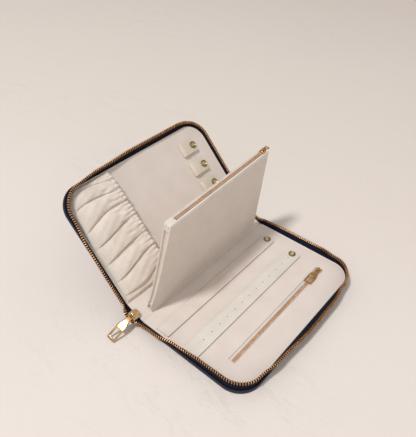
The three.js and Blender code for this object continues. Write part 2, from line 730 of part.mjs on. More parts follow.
function gatheredPocketBody() {
  const [columns, rows] = [46, 12];
  const positions = [];
  for (const lower of [0, 1]) {
    for (let i = 0; i <= columns; i += 1) {
      for (let j = 0; j <= rows; j += 1) {
        const [x, y] = pocketPlace(i / columns, j / rows);
        const outer = fit + gathered.cloth + pocketRise(i / columns, j / rows);
        positions.push(x, y, outer - lower * gathered.cloth);
      }
    }
  }
  const stride = rows + 1;
  const sheet = (columns + 1) * stride;
  const at = (i, j, lower) => lower * sheet + i * stride + j;
  const faces = [];
  const quad = (a, b, c, d) => faces.push(a, b, c, a, c, d);
  for (let i = 0; i < columns; i += 1) {
    for (let j = 0; j < rows; j += 1) {
      quad(at(i, j, 0), at(i + 1, j, 0), at(i + 1, j + 1, 0), at(i, j + 1, 0));
      quad(at(i, j, 1), at(i, j + 1, 1), at(i + 1, j + 1, 1), at(i + 1, j, 1));
    }
    quad(at(i, 0, 0), at(i, 0, 1), at(i + 1, 0, 1), at(i + 1, 0, 0));
    quad(at(i, rows, 0), at(i + 1, rows, 0), at(i + 1, rows, 1), at(i, rows, 1));
  }
  for (let j = 0; j < rows; j += 1) {
    quad(at(0, j, 0), at(0, j + 1, 0), at(0, j + 1, 1), at(0, j, 1));
    quad(at(columns, j, 0), at(columns, j, 1), at(columns, j + 1, 1), at(columns, j + 1, 0));
  }
  const geometry = new THREE.BufferGeometry();
  geometry.setAttribute('position', new THREE.Float32BufferAttribute(positions, 3));
  geometry.setIndex(faces);
  return geometry;
}

// Elastic edge: a ruffled band along the pocket's mouth
function elasticBody() {
  const steps = 3 * elastic.ruffles;
  const rings = [];
  for (let i = 0; i <= steps; i += 1) {
    const u = i / steps;
    const [x, mouth] = pocketPlace(u, 1);
    const ruffle = elastic.ruffleDepth * (1 + Math.sin((i / 3) * 2 * Math.PI));
    const low = fit + Math.max(0, pocketRise(u, 1) - 0.2 * elastic.thickness);
    const near = mouth + fit;
    const far = near + elastic.width;
    rings.push([
      new THREE.Vector3(x, near, low), new THREE.Vector3(x, far, low),
      new THREE.Vector3(x, far, low + elastic.thickness + ruffle),
      new THREE.Vector3(x, near, low + elastic.thickness + ruffle),
    ]);
  }
  return loft(rings, quadCaps);
}

addMesh(front, 'gathered_pocket', gatheredPocketBody(), 'cloth', -1);
addMesh(front, 'pocket_elastic', elasticBody(), 'cloth', -1);

// Snap tabs: a sewn base and a flap that turns at its folded near end
function tabBase() {
  const shape = roundedRectangle(-tab.width / 2, along(tab.near) + 1.1, tab.width / 2, along(tab.far) - fit,
    [0, 0, 1.5, 1.5]);
  shape.holes.push(circlePath(0, along(tab.snap), snapPost + fit));
  return slab(shape, fit, fit + tab.base, 4);
}

const flapBottom = 4 * fit + tab.base;
const flapTop = flapBottom + tab.flap;
const flapLength = tab.far - tab.near;

// Side view of the flap from its turning line, thickened across the tab
function tabFlap() {
  const side = new THREE.Shape();
  const turn = tabTurnHeight;
  const root = { half: 0.5, front: 0.75, height: 0.5 - turn };
  side.moveTo(-root.half, root.height);
  side.lineTo(root.front, root.height);
  side.lineTo(root.front, flapBottom - turn);
  side.lineTo(flapLength, flapBottom - turn);
  side.lineTo(flapLength, flapTop - turn);
  side.lineTo(tabFold.flat, flapTop + 0.1 - turn);
  side.quadraticCurveTo(tabFold.bend, tab.fold + 0.1 - turn, tabFold.neck, tab.fold - turn);
  side.quadraticCurveTo(-root.half, tab.fold - 0.1 - turn, -tabFold.skin, flapBottom - turn);
  side.lineTo(-root.half, root.height);
  const flap = slab(side, -tab.width / 2, tab.width / 2, 4);
  flap.rotateY(Math.PI / 2);
  flap.rotateX(Math.PI / 2);
  const hole = cylinderAlongZ(snapPost + fit, -tab.fold, 2 * tab.fold);
  hole.translate(0, tab.snap - tab.near, 0);
  return cut(flap, hole);
}

tabCentres.forEach((centre, i) => {
  const number = i + 1;
  const base = tabBase().translate(centre, 0, 0);
  addMesh(front, `tab_base_${number}`, base, 'strapLeather', -1);
  const stud = snapStud(fit, flapBottom - fit).translate(centre, along(tab.snap), 0);
  addMesh(front, `tab_stud_${number}`, stud, 'brass', -1);
  const flapGroup = addGroup(front, `tab_${number}`, -centre, along(tab.near), tabTurnHeight);
  addMesh(flapGroup, `tab_flap_${number}`, tabFlap(), 'strapLeather');
  const cap = snapCap(flapBottom - tabTurnHeight, flapTop + fit - tabTurnHeight);
  addMesh(flapGroup, `tab_cap_${number}`, cap.translate(0, tab.snap - tab.near, 0), 'brass');
});

export default jewelryCase;
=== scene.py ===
import json
from math import cos, exp, floor, pi, radians, sin, sqrt

import bmesh
import bpy
import numpy as np
from mathutils import Matrix, Vector


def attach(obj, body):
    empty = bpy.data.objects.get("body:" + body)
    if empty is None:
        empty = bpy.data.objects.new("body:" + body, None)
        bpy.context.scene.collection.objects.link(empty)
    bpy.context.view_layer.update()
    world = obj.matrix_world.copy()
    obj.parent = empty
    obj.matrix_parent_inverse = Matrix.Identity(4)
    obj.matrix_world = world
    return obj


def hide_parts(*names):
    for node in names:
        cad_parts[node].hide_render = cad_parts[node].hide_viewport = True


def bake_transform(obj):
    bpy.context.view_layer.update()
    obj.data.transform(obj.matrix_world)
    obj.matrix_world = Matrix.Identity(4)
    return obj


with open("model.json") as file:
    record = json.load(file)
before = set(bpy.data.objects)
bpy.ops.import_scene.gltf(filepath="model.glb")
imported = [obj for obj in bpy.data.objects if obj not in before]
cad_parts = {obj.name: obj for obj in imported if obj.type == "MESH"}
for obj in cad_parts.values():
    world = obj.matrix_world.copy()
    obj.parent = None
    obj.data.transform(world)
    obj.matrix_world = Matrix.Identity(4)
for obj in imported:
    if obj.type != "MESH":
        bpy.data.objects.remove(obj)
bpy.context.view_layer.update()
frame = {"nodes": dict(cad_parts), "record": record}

scene = bpy.context.scene

# Lengths are in millimetres up to the point where a mesh is made
MM = 0.001
FOLD = radians(23.35)
PAGE_WIDTH, PAGE_LENGTH, CORNER = 126.5, 200.0, 22.0
PAGE_HEIGHT = 5.2
PAGE_END = PAGE_LENGTH / 2
SPINE_WIDTH = 23.4
SPINE_MIDDLE = SPINE_WIDTH / 2
FIT = 0.3
SLIDER_X, SLIDER_Y = -10.4, -107.4
POUCH_SEAT, ROLL_HEIGHT, POUCH_STEM = 5.5, 1.5, 7.0
POUCH_LEAN = radians(15.05)


def moved(x, y, z):
    return Matrix.Translation((x, y, z))


def turned_y(angle):
    return Matrix.Rotation(angle, 4, "Y")


BACK = moved(-PAGE_WIDTH / 2, 0, PAGE_HEIGHT)
SPINE = BACK @ turned_y(FOLD)
SPINE_LEFT = SPINE @ moved(-SPINE_WIDTH, 0, 0)
MIRROR = Matrix.Diagonal((-1, 1, 1, 1))
FRONT_PAGE = SPINE_LEFT @ turned_y(FOLD) @ MIRROR
POUCH_BAG = SPINE @ moved(-POUCH_SEAT, 0, ROLL_HEIGHT) @ turned_y(-POUCH_LEAN) @ moved(0, 0, POUCH_STEM)
PAGES = (("back", BACK), ("front", FRONT_PAGE))
WORLD = Matrix.Identity(4)


def smooth(t):
    t = min(1.0, max(0.0, t))
    return t * t * (3 - 2 * t)


def mix(a, b, t):
    return a + (b - a) * t


def bell(x, middle, width):
    return exp(-((x - middle) / width) ** 2)


def between(stops, x):
    """Value at x between [x, value] stops."""
    if x <= stops[0][0]:
        return stops[0][1]
    for (x0, y0), (x1, y1) in zip(stops, stops[1:]):
        if x <= x1:
            return mix(y0, y1, smooth((x - x0) / (x1 - x0)))
    return stops[-1][1]


# Camera at the photograph's viewing angle
def add_camera():
    target = Vector((-117.22, 64.18, 5.2)) * MM
    place = Vector((181.75, -296.7, 404.2)) * MM
    roll = radians(1.13)
    data = bpy.data.cameras.new("camera")
    data.sensor_fit = "AUTO"
    data.sensor_width = 36
    data.lens = 40.57
    data.clip_start = 0.01
    data.clip_end = 10
    camera = bpy.data.objects.new("camera", data)
    scene.collection.objects.link(camera)
    forward = (target - place).normalized()
    level = forward.cross(Vector((0, 0, 1))).normalized()
    upright = level.cross(forward)
    right = level * cos(roll) + upright * sin(roll)
    up = upright * cos(roll) - level * sin(roll)
    turn = Matrix((right, up, -forward)).transposed().to_4x4()
    camera.matrix_world = Matrix.Translation(place) @ turn
    scene.camera = camera


add_camera()


# Materials
def colour(text):
    """Linear colour from an sRGB hex string."""
    parts = [int(text[i:i + 2], 16) / 255 for i in (0, 2, 4)]
    linear = [p / 12.92 if p <= 0.04045 else ((p + 0.055) / 1.055) ** 2.4 for p in parts]
    return (*linear, 1)


class Material:
    """A principled material with a few node helpers; all patterns use object coordinates."""

    def __init__(self, name):
        self.slot = name
        self.data = bpy.data.materials.new(name)
        self.data.use_nodes = True
        self.nodes = self.data.node_tree.nodes
        self.links = self.data.node_tree.links
        self.shader = self.nodes["Principled BSDF"]
        self.coordinates = self.add("ShaderNodeTexCoord").outputs["Object"]

    def add(self, kind, sockets=None, **settings):
        """A node with its settings made and its sockets set, or linked to other sockets."""
        node = self.nodes.new(kind)
        for key, value in settings.items():
            setattr(node, key, value)
        for key, value in (sockets or {}).items():
            if isinstance(value, bpy.types.NodeSocket):
                self.links.new(value, node.inputs[key])
            else:
                node.inputs[key].default_value = value
        return node

    def scaled(self, x, y, z, turn=(0, 0, 0)):
        sockets = {"Vector": self.coordinates, "Scale": (x, y, z), "Rotation": turn}
        return self.add("ShaderNodeMapping", sockets).outputs["Vector"]

    def noise(self, scale, detail=3, vector=None, roughness=0.5):
        sockets = {"Vector": vector or self.coordinates, "Scale": scale, "Detail": detail,
                   "Roughness": roughness}
        return self.add("ShaderNodeTexNoise", sockets).outputs["Fac"]

    def cells(self, scale):
        sockets = {"Vector": self.coordinates, "Scale": scale}
        return self.add("ShaderNodeTexVoronoi", sockets, feature="DISTANCE_TO_EDGE").outputs["Distance"]

    def wave(self, scale, direction, vector=None):
        sockets = {"Vector": vector or self.coordinates, "Scale": scale}
        return self.add("ShaderNodeTexWave", sockets, bands_direction=direction).outputs["Fac"]

    def calculated(self, operation, a, b):
        return self.add("ShaderNodeMath", {0: a, 1: b}, operation=operation).outputs[0]

    def plus(self, a, b):
        return self.calculated("ADD", a, b)

    def times(self, a, b):
        return self.calculated("MULTIPLY", a, b)

    def steep(self, value, level, gain):
        """Nothing below a level, and a steep rise to one above it."""
        rise = self.times(self.calculated("SUBTRACT", value, level), gain)
        return self.calculated("MAXIMUM", self.calculated("MINIMUM", rise, 1), 0)

    def paint(self, value, places, shades):
        """Base colour from a ramp of sRGB hex shades at their places."""
        node = self.add("ShaderNodeValToRGB", {"Fac": value})
        elements = node.color_ramp.elements
        while len(elements) < len(places):
            elements.new(0.5)
        for element, place, shade in zip(elements, places, shades.split()):
            element.position = place
            element.color = colour(shade)
        self.links.new(node.outputs["Color"], self.shader.inputs["Base Color"])

    def rough(self, value, low, high):
        node = self.add("ShaderNodeMapRange", {"Value": value, "To Min": low, "To Max": high})
        self.links.new(node.outputs["Result"], self.shader.inputs["Roughness"])

    def bump(self, height, strength, depth):
        node = self.add("ShaderNodeBump", {"Height": height, "Strength": strength, "Distance": depth})
        self.links.new(node.outputs["Normal"], self.shader.inputs["Normal"])

    def set(self, **values):
        for key, value in values.items():
            self.shader.inputs[key.replace("_", " ")].default_value = value
        return self


def leather(name, shades, grain=900, depth=0.00012, rough=(0.45, 0.65)):
    m = Material(name)
    pores = m.cells(grain)
    blotches = m.noise(45, 4)
    fine = m.noise(grain * 1.7, 2)
    tone = m.plus(m.times(blotches, 0.8), m.times(fine, 0.2))
    m.paint(tone, (0.3, 0.5, 0.72), shades)
    m.rough(blotches, *rough)
    m.bump(m.plus(m.calculated("MINIMUM", pores, 0.25), m.times(fine, 0.15)), 0.35, depth)
    return m


def cloth(name, shades, threads=2600, depth=0.00008, rough=(0.75, 0.9), sheen=0.15):
    m = Material(name)
    warp = m.wave(threads / 10, "X", m.scaled(1, 1, 1, (0, 0.4, 0)))
    weft = m.wave(threads / 10, "Y")
    weave = m.times(warp, weft)
    blotches = m.noise(60, 4)
    tone = m.plus(m.times(blotches, 0.75), m.times(weave, 0.25))
    m.paint(tone, (0.25, 0.48, 0.75), shades)
    m.rough(blotches, *rough)
    m.bump(weave, 0.3, depth)
    return m.set(Sheen_Weight=sheen)


def metal(name, shades, rough=(0.2, 0.38)):
    m = Material(name)
    scratches = m.noise(700, 3, m.scaled(1, 6, 1))
    wear = m.noise(160, 4)
    # The tone darkens where the surface turns away from the camera: painted shade on the metal's rims,
    # over the wear pattern.
    rim_shade = m.add("ShaderNodeLayerWeight").outputs["Facing"]
    tone = m.calculated("SUBTRACT", m.plus(m.times(wear, 0.6), 0.26), m.times(rim_shade, 0.45))
    m.paint(tone, (0.2, 0.48, 0.72), shades)
    m.rough(scratches, *rough)
    m.bump(scratches, 0.12, 0.00005)
    return m.set(Metallic=1.0)


def smooth_leather(name, shades, rough, grain=1300, depth=0.00006):
    return leather(name, shades, grain, depth, rough)


navy_leather = leather("navy_leather", "090c1b 0f1329 181d3a", grain=700, rough=(0.5, 0.68))
board_card = leather("board_card", "8c7a62 9a8468 a89476", grain=300)
lining = smooth_leather("lining", "ded2c8 e3d6cd e7dbd2", (0.6, 0.75))
strap_pink = smooth_leather("strap_pink", "d8cac0 dfd2c8 e5dad1", (0.55, 0.7))
strap_white = smooth_leather("strap_white", "dcd4c8 e1dacf e6e0d6", (0.5, 0.65))
tab_cream = smooth_leather("tab_cream", "d6cab6 e0d5c3 e9e0d1", (0.5, 0.65), 1100, 0.00008)
# Darker than the lining, for the pocket slit's edges: partly their real folded edges, partly painted shade
# for the shadow lines along the slit.
shaded_welt = smooth_leather("shaded_welt", "b9a99c c9bab0 d6c9c0", (0.45, 0.65), depth=0.00005)
# Darker tan for the band round each strap's edge: painted shade for the shadow line along the edge.
edge_shade_band = smooth_leather("edge_shade_band", "8f7461 a68a75 b89d88", (0.45, 0.65), 1100, 0.00005)
pouch_cloth = cloth("pouch_cloth", "ddd0c4 e2d6ca e7dbd0")
pocket_cloth = cloth("pocket_cloth", "ddd0c4 e5d9cd ebe0d5")
binding = cloth("binding", "d9cec3 e3dad0 ebe3da", threads=3400)
# Lighter than the lining: painted highlight for the bright line along the linings' edges.
piping_highlight = cloth("piping_highlight", "dfd3c8 e8ddd3 efe6dd", threads=3400)
navy_tape = cloth("navy_tape", "050817 090c22 0f1433", threads=3000, depth=0.00015, sheen=0.0)
navy_tape.set(Specular_IOR_Level=0.2)
pale_tape = cloth("pale_tape", "dcd6cd e6e1d9 eeeae3", threads=3000, depth=0.00012)
pocket_tape = cloth("pocket_tape", "d5cac0 ddd3c9 e4dbd2", threads=3000, depth=0.00012)
navy_thread = cloth("navy_thread", "1a2145 232b55 2d3766", threads=6000, depth=0.00005)
stitch_brown = cloth("stitch_brown", "5c4a3e 75604f 8c7664", threads=6000, depth=0.00003)
copper = metal("copper_teeth", "a5703c dca469 f6cf9f", rough=(0.3, 0.44))
rose = metal("rose_teeth", "cb9d7c e6b792 f7dac2", rough=(0.4, 0.52))
gold = metal("gold", "c79a62 f0cb94 fdebcb", rough=(0.12, 0.26))
# Darker than the sliders' gold: painted shade for the dark reflections on the pullers.
puller_gold_shaded = metal("puller_gold_shaded", "96703f d6ab72 f3dbb3", rough=(0.1, 0.17))
brass = metal("antique_brass", "6d5c3c a68f63 e6d2a4", rough=(0.16, 0.32))
satin_brass = metal("satin_brass", "b39a68 e6d09c f8ebc8", rough=(0.32, 0.46))


# A material goes by the slot of its own name, apart from these
for slot, materials in (
    ("lining", (piping_highlight,)),
    ("strap_leather", (strap_pink, strap_white, tab_cream)),
    ("pouch_cloth", (pocket_cloth, binding)),
    ("pale_tape", (pocket_tape, shaded_welt)),
    ("gold", (puller_gold_shaded,)),
    ("antique_brass", (satin_brass,)),
    (None, (edge_shade_band, navy_thread, stitch_brown)),
):
    for material in materials:
        material.slot = slot


# Mesh helpers
def add_object(name, shape, matrix, material, body=None, angle=40, node=None):
    """A mesh object from (points, faces) in millimetres; it can stand in for a CAD node."""
    points, faces = shape
    mesh = bpy.data.meshes.new(name)
    mesh.from_pydata([p * MM for p in put(matrix, points)], [], faces)
    tool = bmesh.new()
    tool.from_mesh(mesh)
    bmesh.ops.remove_doubles(tool, verts=tool.verts, dist=1e-7)
    bmesh.ops.recalc_face_normals(tool, faces=tool.faces)
    tool.to_mesh(mesh)
    tool.free()
    return finish_object(name, mesh, material, body, angle, node, material.slot)


def finish_object(name, mesh, material, body, angle, node, slot):
    mesh.materials.clear()
    mesh.materials.append(material.data)
    mesh.shade_smooth()
    mesh.set_sharp_from_angle(angle=radians(angle))
    obj = bpy.data.objects.new(name, mesh)
    scene.collection.objects.link(obj)
    if body:
        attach(obj, body)
    if node:
        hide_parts(node)
    return obj


BODIES = frame["record"]["behaviour"]["bodies"]
body_of = {member: body for body, members in BODIES.items() for member in members}


def round_edges(tool, angle, offset, segments):
    """Round the edges that turn by more than an angle in degrees."""
    edges = [e for e in tool.edges if len(e.link_faces) == 2 and e.calc_face_angle(0) > radians(angle)]
    bmesh.ops.bevel(tool, geom=edges, offset=offset, segments=segments, profile=0.5, affect="EDGES",
                    clamp_overlap=True)


def dressed(node, material, bevel, segments, slotted=True):
    """A softened copy of a CAD node: welded, its flat faces joined and its sharp edges rounded."""
    tool = bmesh.new()
    tool.from_mesh(frame["nodes"][node].data)
    bmesh.ops.remove_doubles(tool, verts=tool.verts, dist=2e-6)
    bmesh.ops.dissolve_limit(tool, angle_limit=radians(1.5), verts=tool.verts, edges=tool.edges)
    round_edges(tool, 30, bevel * MM, segments)
    mesh = bpy.data.meshes.new(node)
    tool.to_mesh(mesh)
    tool.free()
    slot = material.slot if slotted else None
    finish_object(node + "_piece", mesh, material, body_of[node], 40, node, slot)


def paint_node(node, material):
    mesh = frame["nodes"][node].data
    mesh.materials.clear()
    mesh.materials.append(material.data)


# Geometry helpers
def put(matrix, points):
    return [matrix @ Vector(p) for p in points]


def unit(v):
    v = np.array(v, float)
    return v / np.linalg.norm(v)


def turned_into(matrix, direction):
    return np.array((matrix.to_3x3() @ Vector(direction))[:])


def around(count):
    return [2 * pi * k / count for k in range(count)]


def loft(rings, caps=True):
    """Points and faces of a skin through rings of equal length, with optional end caps."""
    n = len(rings[0])
    faces = []
    for i in range(len(rings) - 1):
        for k in range(n):
            a, b = i * n + k, i * n + (k + 1) % n
            faces.append((a, b, b + n, a + n))
    if caps:
        last = (len(rings) - 1) * n
        faces.append(tuple(range(n - 1, -1, -1)))
        faces.append(tuple(range(last, last + n)))
    return [p for ring in rings for p in ring], faces


def skin(name, rings, matrix, material, body=None, caps=True, angle=40, node=None):
    return add_object(name, loft(rings, caps), matrix, material, body, angle, node)


def slab_between(upper, lower):
    """Points and faces of a closed sheet from two grids of points, upper and lower."""
    rows, columns = len(upper), len(upper[0])
    verts = [p for row in upper for p in row] + [p for row in lower for p in row]
    size = rows * columns
    faces = []
    for i in range(rows - 1):
        for j in range(columns - 1):
            a = i * columns + j
            faces.append((a, a + 1, a + columns + 1, a + columns))
            faces.append((a + size, a + size + columns, a + size + columns + 1, a + size + 1))
    rim = [*range(columns), *range(2 * columns - 1, size, columns)]
    rim += [*range(size - 2, size - columns - 1, -1), *range(size - 2 * columns, 0, -columns)]
    for a, b in zip(rim, rim[1:] + rim[:1]):
        faces.append((a, b, b + size, a + size))
    return verts, faces


def curve_through(points, count):
    """Points on a smooth curve through the given ones."""
    knots = [np.array(p, float) for p in points]
    knots = [2 * knots[0] - knots[1]] + knots + [2 * knots[-1] - knots[-2]]
    spans = len(knots) - 3
    curve = []
    for i in range(count):
        u = i / (count - 1) * spans
        k = min(int(u), spans - 1)
        t = u - k
        p0, p1, p2, p3 = knots[k:k + 4]
        curve.append(0.5 * (2 * p1 + (p2 - p0) * t + (2 * p0 - 5 * p1 + 4 * p2 - p3) * t ** 2
                            + (3 * p1 - p0 - 3 * p2 + p3) * t ** 3))
    return curve


def step_at(points, i):
    """From the point before i to the one after it."""
    return points[min(i + 1, len(points) - 1)] - points[max(i - 1, 0)]


def tube(points, across, thick, side, segments):
    """Rings of an oval tube along points; side is a vector that its wide side follows."""
    path = [np.array(p, float) for p in points]
    rings = []
    for i, p in enumerate(path):
        along = unit(step_at(path, i))
        wide = np.array(side, float)
        wide = unit(wide - along * (wide @ along))
        high = np.cross(along, wide)
        rings.append([tuple(p + wide * across * cos(a) + high * thick * sin(a))
                      for a in around(segments)])
    return rings


def add_tube(name, points, across, thick, matrix, material, body, segments=10):
    skin(name, tube(points, across, thick, (1, 0, 0), segments), matrix, material, body)


def turned(profile, segments):
    """Rings of a body turned about z from (radius, height) points."""
    return [[(r * cos(a), r * sin(a), z) for a in around(segments)] for r, z in profile]


def merged(parts):
    """One set of points and faces from several."""
    verts, faces = [], []
    for more_verts, more_faces in parts:
        base = len(verts)
        verts += list(more_verts)
        faces += [tuple(i + base for i in face) for face in more_faces]
    return verts, faces


def taken_from(tool):
    """Points and faces of a bmesh, which is freed."""
    tool.verts.index_update()
    verts = [v.co.copy() for v in tool.verts]
    faces = [tuple(v.index for v in f.verts) for f in tool.faces]
    tool.free()
    return verts, faces


def block(x, y, z, bevel, taper=1.0):
    """Points and faces of a small rounded block, centred, narrower at its top by taper."""
    tool = bmesh.new()
    bmesh.ops.create_cube(tool, size=1)
    for v in tool.verts:
        top = taper if v.co.z > 0 else 1.0
        v.co = Vector((v.co.x * x * top, v.co.y * y * top, v.co.z * z))
    bmesh.ops.bevel(tool, geom=tool.edges[:], offset=bevel, segments=2, profile=0.5, affect="EDGES")
    verts, faces = taken_from(tool)
    return np.array([v[:] for v in verts]), faces


def repeated(template, places):
    """Copies of a template at (origin, x axis, y axis, z axis) places, as one set."""
    points, polygons = template
    return merged((map(tuple, points @ np.array(axes) + np.array(origin)), polygons)
                  for origin, *axes in places)


def evenly(points, pitch, lead=0.0):
    """Places at an even pitch along a line of points, as (point, tangent, parameter)."""
    line = np.array(points, float)
    steps = np.linalg.norm(np.diff(line, axis=0), axis=1)
    reached = np.concatenate([[0], np.cumsum(steps)])
    count = max(1, int((reached[-1] - lead) / pitch) + 1)
    places = []
    for k in range(count):
        distance = lead + k * pitch
        i = min(max(int(np.searchsorted(reached, distance)) - 1, 0), len(steps) - 1)
        t = (distance - reached[i]) / steps[i]
        ahead = line[min(i + 2, len(line) - 1)] - line[max(i - 1, 0)]
        places.append((line[i] + (line[i + 1] - line[i]) * t, unit(ahead), (i + t) / len(steps)))
    return places


# Pages: cover and lining
CREASE_REACH = 4.0
COVER_PROFILE = [(1.6, -4.0), (1.6, -0.4), (1.75, -0.1), (2.2, 0.0), (2.62, -0.12), (2.8, -0.5),
                 (2.8, -3.5), (2.58, -4.4), (1.9, -5.0), (0.7, -5.2), (-3.0, -5.2)]
LINING_BOTTOM = -1.0
LINING_PROFILE = [(0, LINING_BOTTOM, 0.2), (0, -0.45, 0.2), (-0.1, -0.18, 0.3), (-0.35, -0.03, 0.5),
                  (-0.8, 0.02, 0.9), (-4, 0.05, 4), (-14, 0.14, 14)]
WINDOW = ((91.5, 99.6), (-78.0, 80.5))


def page_ring(offset, start, straight=10, arc=12):
    """Outline of a page grown by offset on its three free sides, from its crease side."""
    radius = CORNER + offset
    reach = PAGE_END + offset
    inner = PAGE_WIDTH - CORNER
    near = [(mix(start, inner, i / straight), -reach) for i in range(straight)]
    near += [(inner + radius * cos(a), radius - reach + radius * sin(a))
             for a in np.linspace(-pi / 2, 0, arc + 1)]
    side = [(PAGE_WIDTH + offset, mix(radius - reach, reach - radius, i / straight))
            for i in range(1, straight)]
    return near + side + [(x, -y) for x, y in reversed(near)]


def add_cover(half, matrix):
    rings = [[(x, y, h) for x, y in page_ring(o, CREASE_REACH)] for o, h in COVER_PROFILE]
    skin(f"{half}_cover_leather", rings, matrix, navy_leather, f"{half}_half", node=f"{half}_cover")


def cut_window(tool):
    """Open the zipped pocket's window in a lining and turn its rim down to the board."""
    for axis, limits in enumerate(WINDOW):
        normal = Vector((0, 0, 0))
        normal[axis] = 1
        for limit in limits:
            everything = tool.verts[:] + tool.edges[:] + tool.faces[:]
            bmesh.ops.bisect_plane(tool, geom=everything, dist=1e-5, plane_co=normal * limit,
                                   plane_no=normal)
    inside = [f for f in tool.faces
              if all(a < place < b for place, (a, b) in zip(f.calc_center_median(), WINDOW))]
    bmesh.ops.delete(tool, geom=inside, context="FACES")
    rim = [e for e in tool.edges if len(e.link_faces) == 1 and e.calc_length() > 1
           and min(v.co.z for v in e.verts) > LINING_BOTTOM / 2]
    for v in bmesh.ops.extrude_edge_only(tool, edges=rim)["geom"]:
        if isinstance(v, bmesh.types.BMVert):
            v.co.z = LINING_BOTTOM


def add_lining(half, matrix):
    rings = [[(x, y, h) for x, y in page_ring(o, start)] for o, h, start in LINING_PROFILE]
    verts, faces = loft(rings)
    tool = bmesh.new()
    made = [tool.verts.new(v) for v in verts]
    for face in faces:
        tool.faces.new([made[i] for i in face])
    if half == "back":
        cut_window(tool)
    add_object(f"{half}_lining_card", taken_from(tool), matrix, lining, f"{half}_half",
               node=f"{half}_lining")


for half, matrix in PAGES:
    add_cover(half, matrix)
    add_lining(half, matrix)
    paint_node(f"{half}_board", board_card)


# Creases and spine
CREASE_BEND = 1.5
NEUTRAL = Vector((0, 0, -2))
LINING_SECTION = [(-99.6, -0.32), (99.6, -0.32), (99.6, -0.95), (-99.6, -0.95)]
COVER_SECTION = ([(-PAGE_END - o, h) for o, h in COVER_PROFILE]
                 + [(PAGE_END + o, h) for o, h in reversed(COVER_PROFILE)])
CREASES = (
    ("back_crease", BACK, ("back_half", "spine")),
    ("front_crease", SPINE_LEFT, ("spine", "front_half")),
)


def crease_frame(base, s):
    """Frame at distance s before (+) or past (-) the crease at base's origin, turning through it."""
    return base @ turned_y(FOLD * smooth((CREASE_BEND - s) / (2 * CREASE_BEND))) @ moved(s, 0, 0)


def blend_over(obj, base, bodies, sign=1):
    """Bake a piece that crosses the crease at base's origin into world space; it is not attached to either
    body, and the crease's end frames are worked out but not used.
    """
    start = crease_frame(base, CREASE_BEND * sign) @ NEUTRAL
    end = crease_frame(base, -CREASE_BEND * sign) @ NEUTRAL
    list(bodies)
    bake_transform(obj)


def crease_strip(name, base, bodies, section, reach, material):
    stations = [reach, 2.5, 1.8, 1.2, 0.6, 0.0, -0.6, -1.2, -1.8, -2.5, -reach]
    rings = [put(crease_frame(base, s), [(0, y, h) for y, h in section]) for s in stations]
    blend_over(skin(name, rings, WORLD, material, caps=False), base, bodies)


def add_spine():
    reaches = (-CREASE_REACH, -9, -14, CREASE_REACH - SPINE_WIDTH)
    rings = [[(x, y, h) for y, h in COVER_SECTION] for x in reaches]
    skin("spine_cover_leather", rings, SPINE, navy_leather, "spine", caps=False, node="spine_cover")
    paint_node("spine_board", board_card)
    side = [(-0.25, LINING_BOTTOM), (-0.25, -0.4), (-0.4, -0.12), (-0.8, 0.02), (-2.5, 0.06)]
    across = side + [(-SPINE_MIDDLE, 0.1)] + [(-SPINE_WIDTH - x, h) for x, h in reversed(side)]
    end = [(PAGE_END, -0.4), (99.7, -0.1), (99, 0), (50, 0)]
    along = [(-y, drop) for y, drop in end] + [(0, 0)] + end[::-1]
    rings = [[(x, y, h + drop) for x, h in across] for y, drop in along]
    skin("spine_lining_card", rings, SPINE, lining, "spine", node="spine_lining")


for name, base, bodies in CREASES:
    crease_strip(f"{name}_leather", base, bodies, COVER_SECTION, CREASE_REACH, navy_leather)
    crease_strip(f"{name}_lining", base, bodies, LINING_SECTION, 3.0, lining)
add_spine()


# Stitching round the covers' outer faces
STITCH = block(2.3, 0.55, 0.5, 0.2)
STITCH_PITCH = 3.3


def add_stitching(half, matrix):
    out = (0, 0, 1)
    path = [(x, y, -PAGE_HEIGHT - 0.1) for x, y in page_ring(-3.2, 4.5, straight=30, arc=20)]
    places = [(point, along, np.cross(out, along), out)
              for point, along, part in evenly(path, STITCH_PITCH)]
    add_object(f"{half}_cover_stitching", repeated(STITCH, places), matrix, navy_thread, f"{half}_half")


for half, matrix in PAGES:
    add_stitching(half, matrix)


# Piping along the linings' free edges; its colour, lighter than the lining, is a painted highlight for the
# bright edge line
PIPING_RADIUS = 0.55


def add_piping(half, matrix):
    path = [np.array((x, y, 0.0)) for x, y in page_ring(-0.3, 4.0, straight=24, arc=16)]
    rings = []
    for i, (x, y, z) in enumerate(path):
        ahead = step_at(path, i)
        out = unit((ahead[1], -ahead[0], 0)) * PIPING_RADIUS
        rings.append([(x + out[0] * cos(a), y + out[1] * cos(a), PIPING_RADIUS * sin(a))
                      for a in around(8)])
    skin(f"{half}_lining_piping", rings, matrix, piping_highlight, f"{half}_half")


for half, matrix in PAGES:
    add_piping(half, matrix)


# Main zip: woven tape, separate metal teeth, and the tape and teeth that cross each crease
TAPE_INSET, TAPE_HALF = 0.4, 0.45
TAPE_MIDDLE, TAPE_OUTER = TAPE_INSET + TAPE_HALF, TAPE_INSET + 2 * TAPE_HALF
TAPE_START = 5.0
MAIN_TOOTH = block(1.15, 2.55, 3.0, 0.26, taper=0.9)
TOOTH_PITCH = 2.45
RUN_STRAIGHT = PAGE_WIDTH - CORNER - TAPE_START
RUN_ARC = CORNER * pi / 2
RUN_SIDE = PAGE_LENGTH - 2 * CORNER
RUN = 2 * RUN_STRAIGHT + 2 * RUN_ARC + RUN_SIDE
TAPE_RISES = {
    "back": [[0, 4.6], [0.06, 7.7], [0.66, 7.7], [0.71, 4.8], [0.77, 4.8], [0.8, 5.2], [0.93, 5],
             [1, 3.6]],
    "front": [[0, 4.6], [0.06, 7.7], [0.27, 7.7], [0.36, 5.5], [0.66, 5.5], [0.71, 2.8], [0.78, 2.5]],
}
